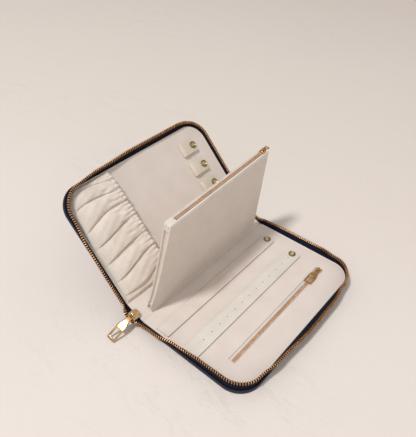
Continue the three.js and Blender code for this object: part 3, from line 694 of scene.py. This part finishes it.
TAPE_LEANS = {
    "back": [[0, 58], [0.04, 46], [0.1, 18], [0.17, 4], [0.24, 0], [0.31, 6], [0.38, 30], [0.5, 52],
             [0.6, 48], [0.67, 20], [0.72, 0], [0.77, 10], [0.84, 54], [0.95, 58], [1, 50]],
    "front": [[0, 50], [0.06, 40], [0.15, 34], [0.23, 12], [0.27, 2], [0.31, 2], [0.38, 28], [0.5, 48],
              [0.6, 46], [0.7, 46], [0.78, 49], [0.86, 45], [1, 48]],
}


def cord_section(side):
    """Outline of the cord inside the teeth, from (height, half width) points up one side."""
    return side + [(2.75, 0)] + [(d, -w) for d, w in reversed(side)]


CORD = cord_section([(0.1, 0.36), (0.6, 0.5), (1.0, 0.8), (2.3, 0.8)])
END_CORD = cord_section([(0.1, 0.4), (0.7, 0.55), (1.1, 0.8), (2.3, 0.8)])


def edge_point(s):
    """Point and outward normal on the lining's edge at distance s along the zip's run."""
    if s > RUN / 2:
        x, y, nx, ny = edge_point(RUN - s)
        return x, -y, nx, -ny
    if s <= RUN_STRAIGHT:
        return TAPE_START + s, -PAGE_END, 0, -1
    s -= RUN_STRAIGHT
    if s <= RUN_ARC:
        nx, ny = cos(s / CORNER - pi / 2), sin(s / CORNER - pi / 2)
        return PAGE_WIDTH - CORNER + CORNER * nx, CORNER - PAGE_END + CORNER * ny, nx, ny
    return PAGE_WIDTH, CORNER - PAGE_END + s - RUN_ARC, 1, 0


def tape_state(half, s):
    """Edge point, normal, rise and lean of the tape at distance s."""
    rise, lean = between(TAPE_RISES[half], s / RUN), between(TAPE_LEANS[half], s / RUN)
    return (*edge_point(s), rise, radians(lean))


def on_tape(half, s, distance, side):
    """Point at a distance up the leaning tape and to its outer side, in the page's frame."""
    x, y, nx, ny, rise, lean = tape_state(half, s)
    out = TAPE_MIDDLE + sin(lean) * distance + cos(lean) * side
    return (x + nx * out, y + ny * out, FIT + cos(lean) * distance - sin(lean) * side)


def tape_ring(half, s):
    """Section of the tape at distance s: a foot inside the edge, a web and a cord."""
    x, y, nx, ny, rise = tape_state(half, s)[:5]
    foot = ((TAPE_INSET, -2.5), (TAPE_OUTER, -2.5), (TAPE_OUTER, 0))
    ring = [(x + nx * o, y + ny * o, h) for o, h in foot]
    ring += [on_tape(half, s, rise * t, TAPE_HALF * w) for t, w in ((0.25, 1), (0.6, 0.9))]
    ring += [on_tape(half, s, rise + d, w) for d, w in CORD]
    ring += [on_tape(half, s, rise * t, TAPE_HALF * w) for t, w in ((0.6, -0.9), (0.25, -1))]
    ring.append((x + nx * TAPE_INSET, y + ny * TAPE_INSET, 0))
    return ring


def tooth_places(line, ups, pitch, lead=0.0):
    """Tooth frames along a line; ups are the directions the teeth point in, one for each point."""
    places = []
    for point, along, part in evenly(line, pitch, lead):
        up = np.array(ups[min(int(round(part * (len(ups) - 1))), len(ups) - 1)], float)
        side = unit(np.cross(up, along))
        places.append((point, along, side, unit(np.cross(along, side))))
    return places


def add_teeth(name, places, body=None, node=None):
    return add_object(name, repeated(MAIN_TOOTH, places), WORLD, copper, body, 50, node)


def add_zip_row(half, matrix):
    """Tape and teeth round one page; gives the first tooth's place and direction."""
    rings = [tape_ring(half, s) for s in np.linspace(0, RUN, 190)]
    skin(f"{half}_tape_woven", rings, matrix, navy_tape, f"{half}_half", node=f"{half}_zip_tape")
    line, ups = [], []
    for s in np.linspace(0, RUN, 900):
        rise = between(TAPE_RISES[half], s / RUN)
        low = matrix @ Vector(on_tape(half, s, rise + 0.4, 0))
        top = matrix @ Vector(on_tape(half, s, rise + 3.3, 0))
        line.append((low + top) / 2)
        ups.append((top - low).normalized())
    places = tooth_places(line, ups, TOOTH_PITCH, 0.8)
    add_teeth(f"{half}_teeth", places, f"{half}_half", f"{half}_zip_teeth")
    return line[0], ups[0]


def bridge_line(first, sign):
    """Line of the teeth from a page's first tooth over its crease into the slider's mouth."""
    mouth = SLIDER_X + 2.55 * sign
    over = [(-SPINE_MIDDLE + 8.3 * sign, -107.6, 3.0), (SLIDER_X + 5.0 * sign, -109.1, 2.5),
            (mouth + 0.5 * sign, -109.0, 2.15), (mouth, -107.7, 2.1), (mouth - 0.2 * sign, -106.4, 2.1)]
    return curve_through([tuple(p) for p in [first] + put(SPINE, over)], 60)


def add_bridge(half, page, base, sign, first, first_up):
    """Tape and teeth from one half's near end across its crease and into the slider's mouth."""
    line = bridge_line(first, sign)
    spine_up = turned_into(SPINE, (0, 0, 1))
    ups = []
    for i in range(len(line)):
        flat = unit(np.cross(spine_up, unit(step_at(line, i))) * sign * -1)
        t = smooth(i / 25)
        lean = radians(mix(56, 86, t))
        settled = flat * sin(lean) + spine_up * cos(lean)
        ups.append(unit(np.array(first_up[:]) * (1 - t) + settled * t))
    bodies = (f"{half}_half", "spine")
    places = tooth_places(line, ups, TOOTH_PITCH * 0.92, 1.6)
    blend_over(add_teeth(f"{half}_teeth_to_slider", places), base, bodies, sign)
    rings = []
    for i in range(0, 58, 3):
        t = i / 57
        x = mix(TAPE_START, -1.5, t / 0.4)
        if x > 0:
            foot = page @ Vector((x, -100.85, -0.8))
        else:
            reach = mix(SPINE_MIDDLE, 4.5, smooth((t - 0.3) / 0.7))
            foot = SPINE @ Vector((-SPINE_MIDDLE + reach * sign, -100.9, -0.8))
        tip = Vector(line[i]) - Vector(ups[i]) * 1.2
        across = [foot, foot.lerp(tip, 0.45) + Vector(spine_up) * 0.5, tip]
        thick = Vector(unit(np.cross(np.array((tip - foot)[:]), unit(step_at(line, i))))) * 0.35
        rings.append([p + thick for p in across] + [p - thick for p in reversed(across)])
    tape = skin(f"{half}_tape_to_slider", rings, WORLD, navy_tape)
    blend_over(tape, base, bodies, sign)


def add_far_ribbon(half, page, base, sign):
    """Tape and teeth from one half's far end across its crease to the middle of the spine."""
    rise, end_lean = tape_state(half, RUN)[4:]
    spine_side = SPINE if sign > 0 else SPINE_LEFT @ MIRROR
    rings, line, ups = [], [], []
    for t in np.linspace(0, 1, 13):
        reach = mix(TAPE_START, -SPINE_MIDDLE, t)
        height = mix(rise, 0.9, smooth(t * 1.3))
        lean = end_lean * (1 - smooth(t * 1.2))
        place = page if reach > 0 else spine_side
        section = [(TAPE_INSET, -2.3), (TAPE_OUTER, -2.3), (TAPE_OUTER, 0.1)]
        for d, w in END_CORD:
            section.append((TAPE_MIDDLE + sin(lean) * (height + d) + cos(lean) * w,
                            FIT + cos(lean) * (height + d) - sin(lean) * w))
        section.append((TAPE_INSET, 0.1))
        rings.append(put(place, [(reach, PAGE_END + o, h) for o, h in section]))
        up = turned_into(place, unit((0, sin(lean), cos(lean))))
        foot = place @ Vector((reach, PAGE_END + TAPE_MIDDLE, FIT))
        line.append(np.array(foot[:]) + up * (height + 1.85))
        ups.append(up)
    bodies = (f"{half}_half", "spine")
    tape = skin(f"{half}_tape_far_end", rings, WORLD, navy_tape)
    blend_over(tape, base, bodies, sign)
    teeth = add_teeth(f"{half}_teeth_far_end", tooth_places(line, ups, TOOTH_PITCH, 1.6))
    blend_over(teeth, base, bodies, sign)


first_teeth = {half: add_zip_row(half, matrix) for half, matrix in PAGES}
ZIP_SIDES = (("back", BACK, BACK, 1), ("front", FRONT_PAGE, SPINE_LEFT, -1))
for half, page, base, sign in ZIP_SIDES:
    add_bridge(half, page, base, sign, *first_teeth[half])
for half, page, base, sign in ZIP_SIDES:
    add_far_ribbon(half, page, base, sign)
for end in ("near", "far"):
    dressed(f"spine_zip_tape_{end}", navy_tape, 0.2, 2, slotted=False)


# Straps with edge bands of painted shade, snap caps and tabs
STRAP_NEAR, STRAP_FAR, STRAP_CORNER = -97.5, 84.0, 3.0
EDGE_SHADE_PROFILE = ((-0.3, 0), (0.084, 0), (0.14, 0.3), (0.14, 0.7), (0.084, 1), (-0.3, 1))
CAP_SEGMENTS = 40
CAP_HEIGHT = 1.3
CAP_RING = [(0.02, -0.85), (2.35, -0.85), (2.5, -0.7), (2.95, -0.42), (3.2, -0.1), (3.5, 0.0),
            (3.85, -0.12), (4.05, -0.45), (4.09, -0.9), (4.0, -CAP_HEIGHT), (0.02, -CAP_HEIGHT)]
CAP_DISH = [(0.02, -0.15), (0.8, -0.22), (1.55, -0.42), (1.75, -0.66), (2.46, -0.68), (2.52, -0.95),
            (0.02, -0.95)]
TAB_CENTRES = (103.4, 77.8, 52.4, 26.9)
TAB_SNAP = 76.2


def strap_path(centre, width):
    """Outline of a strap from its near end round its far end, with outward normals."""
    path = [(-width / 2, y, -1, 0) for y in np.linspace(STRAP_NEAR, STRAP_FAR - STRAP_CORNER, 12)]
    for a in np.linspace(pi, pi / 2, 9)[1:]:
        x, y = STRAP_CORNER * (1 + cos(a)) - width / 2, STRAP_FAR + STRAP_CORNER * (sin(a) - 1)
        path.append((x, y, cos(a), sin(a)))
    path += [(-x, y, -nx, ny) for x, y, nx, ny in reversed(path)]
    return [(centre + x, y, nx, ny) for x, y, nx, ny in path]


def strap_edge(name, centre, width):
    """A thin dark band round a strap's edge: painted shade for the shadow line along it."""
    rings = [[(x + nx * out, y + ny * out, mix(0.42, 1.42, t)) for out, t in EDGE_SHADE_PROFILE]
             for x, y, nx, ny in strap_path(centre, width)]
    skin(f"{name}_edge", rings, BACK, edge_shade_band, name)


def snap_cap(name, matrix):
    """A snap cap as a turned ring round a dished, faceted middle."""
    rings = turned(CAP_RING, CAP_SEGMENTS)
    skin(f"{name}_turned", rings, matrix, brass, body_of[name], angle=28, node=name)
    rings = turned(CAP_DISH, CAP_SEGMENTS)
    for ring, depth in ((rings[1], 0.1), (rings[2], 0.16)):
        for k, (x, y, z) in enumerate(ring):
            ring[k] = (x, y, z + depth * cos(5 * 2 * pi * k / CAP_SEGMENTS))
    skin(f"{name}_middle", rings, matrix, satin_brass, body_of[name], angle=28)


for name, material, centre, width, snap in (
    ("ring_strap", strap_pink, 24.9, 15.8, 79.8),
    ("earring_strap", strap_white, 60.9, 17.2, 78.3),
):
    dressed(name, material, 0.4, 3)
    strap_edge(name, centre, width)
    snap_cap(f"{name}_cap", BACK @ moved(centre, snap, 3.4))
    paint_node(f"{name}_stud", brass)
for n, centre in enumerate(TAB_CENTRES, 1):
    dressed(f"tab_base_{n}", tab_cream, 0.25, 2)
    dressed(f"tab_flap_{n}", tab_cream, 0.4, 3)
    snap_cap(f"tab_cap_{n}", FRONT_PAGE @ moved(centre, TAB_SNAP, 5.0))
    paint_node(f"tab_stud_{n}", brass)


# Zipped pocket of the back page, and the small sliders and pullers
SMALL_TOOTH = block(1.0, 1.9, 0.6, 0.22)
SMALL_PITCH = 0.62
SMALL_WIDTH = 3.0
POCKET_CHAIN_X = 96.9


def small_chain(name, points, matrix, body, node):
    """A narrow zip: two rows of small teeth that meet on a line, on a thin core."""
    up = (0, 0, 1)
    places = []
    for k, (point, along, part) in enumerate(evenly(points, SMALL_PITCH)):
        side = unit(np.cross(up, along))
        shift = (SMALL_WIDTH / 2 - 0.95) * (1 if k % 2 else -1)
        places.append((point + side * shift, along, side, unit(up)))
    across = np.cross(up, unit(np.array(points[-1]) - np.array(points[0])))
    core = loft(tube(points, SMALL_WIDTH / 2 - 0.25, 0.3, across, 10))
    add_object(name, merged([core, repeated(SMALL_TOOTH, places)]), matrix, rose, body, 50, node)


paint_node("pocket_bag", pouch_cloth)
dressed("pocket_zip_tape", pocket_tape, 0.15, 2)
small_chain("pocket_chain", [(POCKET_CHAIN_X, y, 0.35) for y in np.linspace(-77.4, 79.9, 40)], BACK,
            "back_half", "pocket_zip_teeth")
# Thin tubes along the slit's edge and the tape's edge, darker than the lining as painted shade for their
# shadow lines.
for x, radius in ((91.7, 0.32), (95.1, 0.22)):
    add_tube(f"pocket_slit_{int(x)}", [(x, y, -0.12) for y in np.linspace(-77.4, 80, 30)], radius, radius,
             BACK, shaded_welt, "back_half", 8)
for name in ("pouch_slider", "pocket_slider"):
    dressed(name, gold, 0.3, 3)
dressed("pouch_puller", puller_gold_shaded, 0.2, 3)
dressed("pocket_puller", puller_gold_shaded, 0.25, 3)


# Main slider
SLIDER = SPINE @ moved(SLIDER_X, SLIDER_Y, FIT)
SLIDER_HALF, SLIDER_LENGTH = 5.0, 10.0
SLIDER_CURVE = ((SLIDER_HALF, 4.0), (SLIDER_HALF, 7.0), (3.0, SLIDER_LENGTH))
LOWER_PLATE = ((0.6, 0.0), (0.15, 0.12), (0, 0.4), (0, 0.9), (0.2, 1.1))
POST = ((0.3, 1.0), (0.3, 2.6))
UPPER_PLATE = ((0.2, 2.5), (0, 2.7), (0, 3.05), (0.15, 3.35), (0.5, 3.55), (1.2, 3.66), (2.2, 3.8),
               (3.4, 3.88))
ARCH = [(0, 0.3, 3.3), (0, 0.25, 5.0), (0, 0.4, 6.6), (0, 1.3, 7.6), (0, 3.1, 7.72), (0, 4.9, 7.6),
        (0, 5.8, 6.6), (0, 5.95, 5.0), (0, 5.9, 3.3)]


def slider_outline(inset, near):
    """Outline of the slider's plates: square at the mouth, rounded to a narrow nose."""
    side = [(SLIDER_HALF, 0.0), (SLIDER_HALF, 1.4), (SLIDER_HALF, 2.8), (4.98, 4.0)]
    for k in range(1, 8):
        u = k / 8
        side.append([a * (1 - u) ** 2 + b * 2 * u * (1 - u) + c * u * u for a, b, c in zip(*SLIDER_CURVE)])
    side += [(2.8, 9.75), (2.2, SLIDER_LENGTH)]
    shrink = 1 - inset / SLIDER_HALF
    middle = SLIDER_LENGTH / 2
    points = side + [(-x, y) for x, y in reversed(side)]
    return [(x * shrink, max(near, middle + (y - middle) * shrink)) for x, y in points]


def add_main_slider():
    parts = []
    for levels, near in ((LOWER_PLATE, 0.0), (POST, 4.5), (UPPER_PLATE, 0.0)):
        parts.append(loft([[(x, y, z) for x, y in slider_outline(inset, near)] for inset, z in levels]))
    wedge, wedge_faces = block(2.2, 3.4, 1.8, 0.3)
    parts.append(([tuple(v + np.array((0, 3.0, 1.8))) for v in wedge], wedge_faces))
    parts.append(loft(tube(curve_through(ARCH, 40), 0.72, 0.46, (1, 0, 0), 12)))
    add_object("main_slider_cast", merged(parts), SLIDER, gold, "spine", 42, "main_slider")


add_main_slider()


# Main puller: a flat bar with an eye at the pin and an open window at its free end
PULLER = SLIDER @ moved(0, 2.0, 6.1) @ turned_y(radians(-10.35)) @ Matrix.Rotation(radians(25.2), 4, "X")


def add_main_puller():
    length, width, neck, thickness, bow = 32.2, 9.6, 5.4, 1.4, 1.5
    eye, eye_end = 1.4, 3.7
    shoulder, widest, rounding = eye_end + 1, 0.52 * length, 0.09 * width
    window_start, window_end = 0.6 * length, length - 0.27 * width
    stops = sorted({-0.4, 0.4, 1.2, 2.2, eye_end, shoulder, *np.linspace(eye_end + 2, window_start, 9),
                    *np.linspace(window_start, window_end, 8), length - rounding,
                    length - rounding / 3, length})
    tool = bmesh.new()
    rows = []
    for d in stops:
        edge = mix(neck, width, smooth((d - shoulder) / (widest - shoulder))) / 2
        ease = max(0.0, d - (length - rounding)) / rounding
        edge -= rounding * (1 - sqrt(max(0.0, 1 - ease * ease)))
        opened = smooth((d - eye_end) / (window_start - eye_end))
        inner = min(mix(eye, 0.3 * width, opened), edge - 0.4)
        rise = bow * sin(pi * min(1.0, max(0.0, d / length))) - thickness / 2
        rows.append([tool.verts.new((x, -d, rise)) for x in (-edge, -inner, inner, edge)])
    for i in range(len(stops) - 1):
        middle = (stops[i] + stops[i + 1]) / 2
        opening = 0.4 < middle < eye_end or window_start < middle < window_end
        a, b = rows[i], rows[i + 1]
        for k in (0, 2) if opening else (0, 1, 2):
            tool.faces.new((a[k], a[k + 1], b[k + 1], b[k]))
    bmesh.ops.recalc_face_normals(tool, faces=tool.faces)
    for v in bmesh.ops.extrude_face_region(tool, geom=tool.faces[:])["geom"]:
        if isinstance(v, bmesh.types.BMVert):
            v.co.z += thickness
    bmesh.ops.recalc_face_normals(tool, faces=tool.faces)
    round_edges(tool, 50, thickness * 0.24, 3)
    add_object("main_puller_cast", taken_from(tool), PULLER, puller_gold_shaded, "main_puller",
               node="main_puller")


add_main_puller()


# Pouch: two cloth walls, recessed gussets, rolled edges, zip and end fold
POUCH_LOW, POUCH_TOP = 1.5, 110.8
POUCH_SKIRT = {1: -8.5, -1: -7.0}
POUCH_SIDES = ((1, "back"), (-1, "front"))
EDGE_STEPS = [0, 0.003, 0.008, 0.014] + list(np.linspace(0.025, 0.975, 48)) + [0.986, 0.992, 0.997, 1]
HEIGHT_STEPS = [0, 0.004, 0.01] + list(np.linspace(0.025, 0.975, 34)) + [0.99, 0.996, 1]


def pouch_part(z):
    return max(0.0, (z - POUCH_LOW) / (POUCH_TOP - POUCH_LOW))


def pouch_half(z):
    return mix(5.6, 7.8, pouch_part(z) ** 0.85) / 2


def pouch_flare(z, side):
    """How far a wall spreads out on the sewn fold, near its bottom."""
    return 1.1 * max(0.0, 1 - (z - POUCH_SKIRT[side]) / 6) ** 2


def pouch_near(z):
    return mix(-85.5, -72.5, pouch_part(z) ** 0.62)


def pouch_far(z):
    return mix(87.0, 79.5, pouch_part(z))


def pouch_drift(y, z):
    """How far the pouch's middle plane twists aside."""
    return pouch_part(z) * (-0.3 - 5.4 / 152 * (y - 3.5))


def wall_swell(u, v, y, z, side):
    """How far a wall stands out from its plane: a soft fullness, rolled edges and two seams."""
    from_end, from_top = min(u, 1 - u) * 160, (1 - v) * 110
    border = min(from_end, from_top)
    rolled = 0.45 * (1 - min(1, border / 0.9)) ** 2
    seam = 0.3 * bell(from_top, 4.5, 0.7) + 0.25 * bell(from_end, 3.6, 0.8)
    full = 0.55 * sin(pi * u) ** 0.7 * sin(pi * v) ** 0.7
    soft = 0.2 * sin(0.083 * y + 0.051 * z + 1.3 * side) * sin(0.061 * z - 0.033 * y + 0.4)
    soft += 0.1 * sin(0.19 * y - 0.13 * z + 2 * side) * sin(0.12 * z + 0.07 * y)
    return (full + soft) * min(1, border / 9) - rolled - seam


def add_pouch_wall(letter, side):
    outer, inner = [], []
    for v in HEIGHT_STEPS:
        z = mix(POUCH_SKIRT[side], POUCH_TOP, v)
        plane = pouch_half(z) + pouch_flare(z, side)
        outer.append([])
        inner.append([])
        for u in EDGE_STEPS:
            y = mix(pouch_near(z), pouch_far(z), u)
            x = plane + wall_swell(u, v, y, z, side)
            outer[-1].append((side * x + pouch_drift(y, z), y, z))
            inner[-1].append((side * (min(x, plane) - 0.9) + pouch_drift(y, z), y, z))
    add_object(f"pouch_{letter}_wall_cloth", slab_between(outer, inner), POUCH_BAG, pouch_cloth,
               "pouch", 50, f"pouch_{letter}_wall")


def add_pouch_end(end, edge, sign):
    """A gusset that folds inwards and the bindings on its two edges."""
    outer = []
    for z in np.linspace(POUCH_SKIRT[-1], POUCH_TOP - 0.6, 34):
        half = max(0.5, pouch_half(z) - 1.0)
        outer.append([])
        for t in np.linspace(-1, 1, 9):
            y = edge(z) + sign * (0.7 + 1.1 * (1 - t * t))
            outer[-1].append((t * half + pouch_drift(y, z), y, z))
    inner = [[(x, y + sign * 0.6, z) for x, y, z in row] for row in outer]
    add_object(f"pouch_{end}_gusset_cloth", slab_between(outer, inner), POUCH_BAG, pouch_cloth,
               "pouch", 50, f"pouch_{end}_gusset")
    for side, letter in POUCH_SIDES:
        points = []
        for z in np.linspace(POUCH_SKIRT[side] + 0.4, POUCH_TOP + 0.1, 44):
            across = pouch_half(z) + pouch_flare(z, side) - 0.5
            points.append((side * across + pouch_drift(edge(z), z), edge(z) - sign * 0.2, z))
        add_tube(f"pouch_{end}_binding_{letter}", points, 0.75, 0.75, POUCH_BAG, binding, "pouch")


def add_pouch_rim(letter, side):
    """The rolled rim and the band below it along one side of the zip."""
    half = pouch_half(POUCH_TOP)
    points = [(side * (half - 0.45) + pouch_drift(y, POUCH_TOP), y, POUCH_TOP + 0.05)
              for y in np.linspace(-72.3, 79.3, 40)]
    add_tube(f"pouch_rim_{letter}", points, 0.6, 0.5, POUCH_BAG, binding, "pouch")
    section = [(-0.5, -2.9), (0.12, -2.9), (0.34, -2.6), (0.34, -0.5), (0.1, 0.1), (-0.5, 0.3)]
    rings = [[(side * (half + o) + pouch_drift(y, POUCH_TOP), y, POUCH_TOP + h) for o, h in section]
             for y in np.linspace(-71.6, 78.8, 40)]
    skin(f"pouch_top_band_{letter}", rings, POUCH_BAG, pale_tape, "pouch")
    dressed(f"pouch_zip_tape_{letter}", pale_tape, 0.15, 2)


def add_end_fold():
    """The cloth folded over the near end of the pouch's zip, with its two stitches."""
    fold = [(-64.8, 111.25), (-68, 111.35), (-71.6, 111.3), (-73.2, 110.7), (-73.7, 109.4),
            (-73.75, 106.5), (-73.95, 102.5)]
    beyond = (2 * fold[-1][0] - fold[-2][0], 2 * fold[-1][1] - fold[-2][1])
    across = ((-1, 0.5), (-0.94, 0.1), (-0.6, 0), (0, 0), (0.6, 0), (0.94, 0.1), (1, 0.5))
    rings = []
    for (y, z), (next_y, next_z) in zip(fold, fold[1:] + [beyond]):
        down = unit((0, z - next_z, next_y - y)) * -0.45
        drift = pouch_drift(y, min(z, POUCH_TOP))
        ring = [(t * 3.3 + drift, y - down[1] * depth, z - down[2] * depth) for t, depth in across]
        rings.append(ring + [(x, outer_y - down[1], outer_z - down[2])
                             for x, outer_y, outer_z in reversed(ring)])
    skin("pouch_end_fold", rings, POUCH_BAG, binding, "pouch")
    stitch_y, stitch_z = -73.7, 107.8
    for n, x in enumerate((-1.5, 1.5)):
        dot = turned([(0.02, 0.14), (0.35, 0.1), (0.5, -0.05), (0.5, -0.3), (0.02, -0.3)], 14)
        place = POUCH_BAG @ moved(x + pouch_drift(stitch_y, stitch_z), stitch_y - 0.08, stitch_z)
        skin(f"pouch_end_stitch_{n}", dot, place @ Matrix.Rotation(radians(90), 4, "X"),
             stitch_brown, "pouch")


for side, letter in POUCH_SIDES:
    add_pouch_wall(letter, side)
add_pouch_end("near", pouch_near, 1)
add_pouch_end("far", pouch_far, -1)
for side, letter in POUCH_SIDES:
    add_pouch_rim(letter, side)
small_chain("pouch_chain", [(pouch_drift(y, POUCH_TOP), y, 111.0) for y in np.linspace(-64, 78, 40)],
            POUCH_BAG, "pouch", "pouch_zip_teeth")
dressed("pouch_hinge_roll", pouch_cloth, 0.25, 2)
dressed("pouch_end_tab", pale_tape, 0.15, 2)
add_end_fold()


# Gathered pocket with fan-like folds, and its ruffled elastic
POCKET_INSET = 1.2
POCKET_MOUTH, ELASTIC_Y = -45.0, -42.7


def pocket_x(u):
    return mix(POCKET_INSET, PAGE_WIDTH - POCKET_INSET, u)


def pocket_near(x):
    """The pocket's sewn edge, which follows the page's rounded corner."""
    radius = CORNER - POCKET_INSET
    over = max(0.0, x - (PAGE_WIDTH - CORNER))
    return POCKET_INSET - PAGE_END + radius - sqrt(max(0.0, radius ** 2 - over ** 2))


def pocket_rise(u, v):
    """Height of the cloth: pleats that fan out from the elastic, with gathers and creases."""
    across = between([[0, 0], [0.02, 0.45], [0.08, 0.82], [0.2, 1]], min(u, 1 - u))
    inward = between([[0, 0], [0.03, 0.38], [0.1, 0.7], [0.36, 1], [0.8, 1], [1, 0.95]], v)
    crisp = mix(0.72, 0.45, smooth((u - 0.35) / 0.35))
    sway = 0.55 + 0.5 * smooth((u - 0.4) / 0.3)
    wander = sway * sin(2.4 * v + 5 * u) + 0.28 * sin(11 * u + 3 * v) - 0.9 * v
    phase = 7 * u + wander / pi
    count = floor(phase + 0.5)
    turn = phase + 0.5 - count
    if turn < 0.1:
        pleat = sin(pi / 2 * turn / 0.1)
    else:
        pleat = cos(pi / 2 * (turn - 0.1) / 0.9) ** 0.8
    ridge = (1 - crisp) * abs(cos(pi * phase)) ** 0.6 + crisp * pleat
    reach = 0.55 + 0.45 * sin(3.1 * count + 1.0)
    depth = between([[0, 0.4], [0.2, 1.0], [0.6, 1.0], [0.85, 0.85], [1, 0.5]], v) * (3.2 + 2.3 * reach)
    gathers = abs(cos(pi * (23 * u + 0.35 * sin(9 * u)))) ** 0.8
    small = 0.8 * gathers * smooth((v - 0.72) / 0.25)
    crease = 0.28 * sin(41 * u + 9 * v) * sin(17 * v - 13 * u) + 0.16 * sin(83 * u - 21 * v)
    pinches = bell(v, 0.8, 0.08) * max(0.0, sin(2 * pi * (10 * u + 0.8 * v))) ** 2
    rise = 7.3 + depth * (ridge - 0.76) + small + crease * smooth(v / 0.3)
    rise -= 1.5 * pinches * smooth((u - 0.1) / 0.3)
    return max(0.0, across * inward * rise)


def add_gathered_pocket():
    """The pocket's cloth, gathered between its sewn edge and the elastic."""
    outer, inner = [], []
    for v in np.linspace(0, 1, 64):
        outer.append([])
        inner.append([])
        for u in np.linspace(0, 1, 300):
            x, rise = pocket_x(u), pocket_rise(u, v)
            y = mix(pocket_near(x), POCKET_MOUTH, v)
            outer[-1].append((x, y, 0.9 + rise))
            inner[-1].append((x, y, 0.35 + rise * 0.985))
    pocket = add_object("gathered_pocket_cloth", slab_between(outer, inner), FRONT_PAGE, pocket_cloth,
                        "front_half", 80, "gathered_pocket")


def add_elastic():
    rings = []
    for u in np.linspace(0, 1, 420):
        low = FIT + max(0.0, pocket_rise(u, 1.0) - 0.28)
        gather = abs(cos(pi * (27 * u + 0.3 * sin(11 * u)))) ** 0.9
        high, wide = 1.25 * (0.1 + 0.9 * gather), 2.05 * (0.85 + 0.45 * gather)
        middle = ELASTIC_Y + 0.25 * sin(70 * u)
        ring = []
        for a in around(14):
            groove = 0.5 * bell(cos(a), 0, 0.25) if sin(a) > 0 else 0
            ring.append((pocket_x(u), middle + wide * cos(a), low + 1.05 + high * sin(a) - groove))
        rings.append(ring)
    skin("pocket_elastic_ruffle", rings, FRONT_PAGE, pocket_cloth, "front_half", angle=60,
         node="pocket_elastic")


add_gathered_pocket()
add_elastic()


# Floor and light
def floor_plaster():
    m = Material("floor")
    plaster = m.noise(14, 12, roughness=0.6)
    strokes = m.noise(24, 8, m.scaled(1, 1.8, 1, (0, 0, 0.6)), roughness=0.65)
    marks = m.times(m.steep(strokes, 0.52, 6), m.steep(m.noise(3.5, 3), 0.47, 7))
    # The colour darkens along one direction over the floor: painted shade for the light's fall-off, made
    # uneven by a little noise.
    across = m.scaled(0.9, 0.9, 0.9, (0, 0, -1.8))
    painted_falloff = m.add("ShaderNodeTexGradient", {"Vector": across}).outputs["Fac"]
    m.paint(m.plus(painted_falloff, m.times(m.noise(5, 4), 0.16)),
            (0.05, 0.28, 0.65, 1.0), "ece2db e8ddd4 e6dbd2 e3d7ce")
    m.bump(m.plus(plaster, m.times(marks, 0.4)), 0.5, 0.003)
    return m.set(Roughness=0.9)


def add_floor():
    tool = bmesh.new()
    bmesh.ops.create_grid(tool, x_segments=1, y_segments=1, size=3)
    mesh = bpy.data.meshes.new("floor")
    tool.to_mesh(mesh)
    tool.free()
    mesh.materials.append(floor_plaster().data)
    ground = bpy.data.objects.new("floor", mesh)
    scene.collection.objects.link(ground)


def add_light(name, place, target, size, power):
    data = bpy.data.lights.new(name, "AREA")
    data.shape = "DISK"
    data.size = size
    data.energy = power
    lamp = bpy.data.objects.new(name, data)
    lamp.location = place
    lamp.rotation_euler = (Vector(target) - Vector(place)).to_track_quat("-Z", "Y").to_euler()
    scene.collection.objects.link(lamp)


def add_world():
    world = bpy.data.worlds.new("world")
    world.use_nodes = True
    background = world.node_tree.nodes["Background"]
    background.inputs["Color"].default_value = (1.0, 0.98, 0.96, 1)
    background.inputs["Strength"].default_value = 0.46
    scene.world = world


add_floor()
add_light("key", (-0.35, -1.55, 3.2), (-0.05, 0, 0), 0.45, 69)
add_light("fill", (2.2, -1.8, 2.2), (-0.05, 0, 0), 2.4, 12)
add_world()
scene.view_settings.view_transform = "Standard"
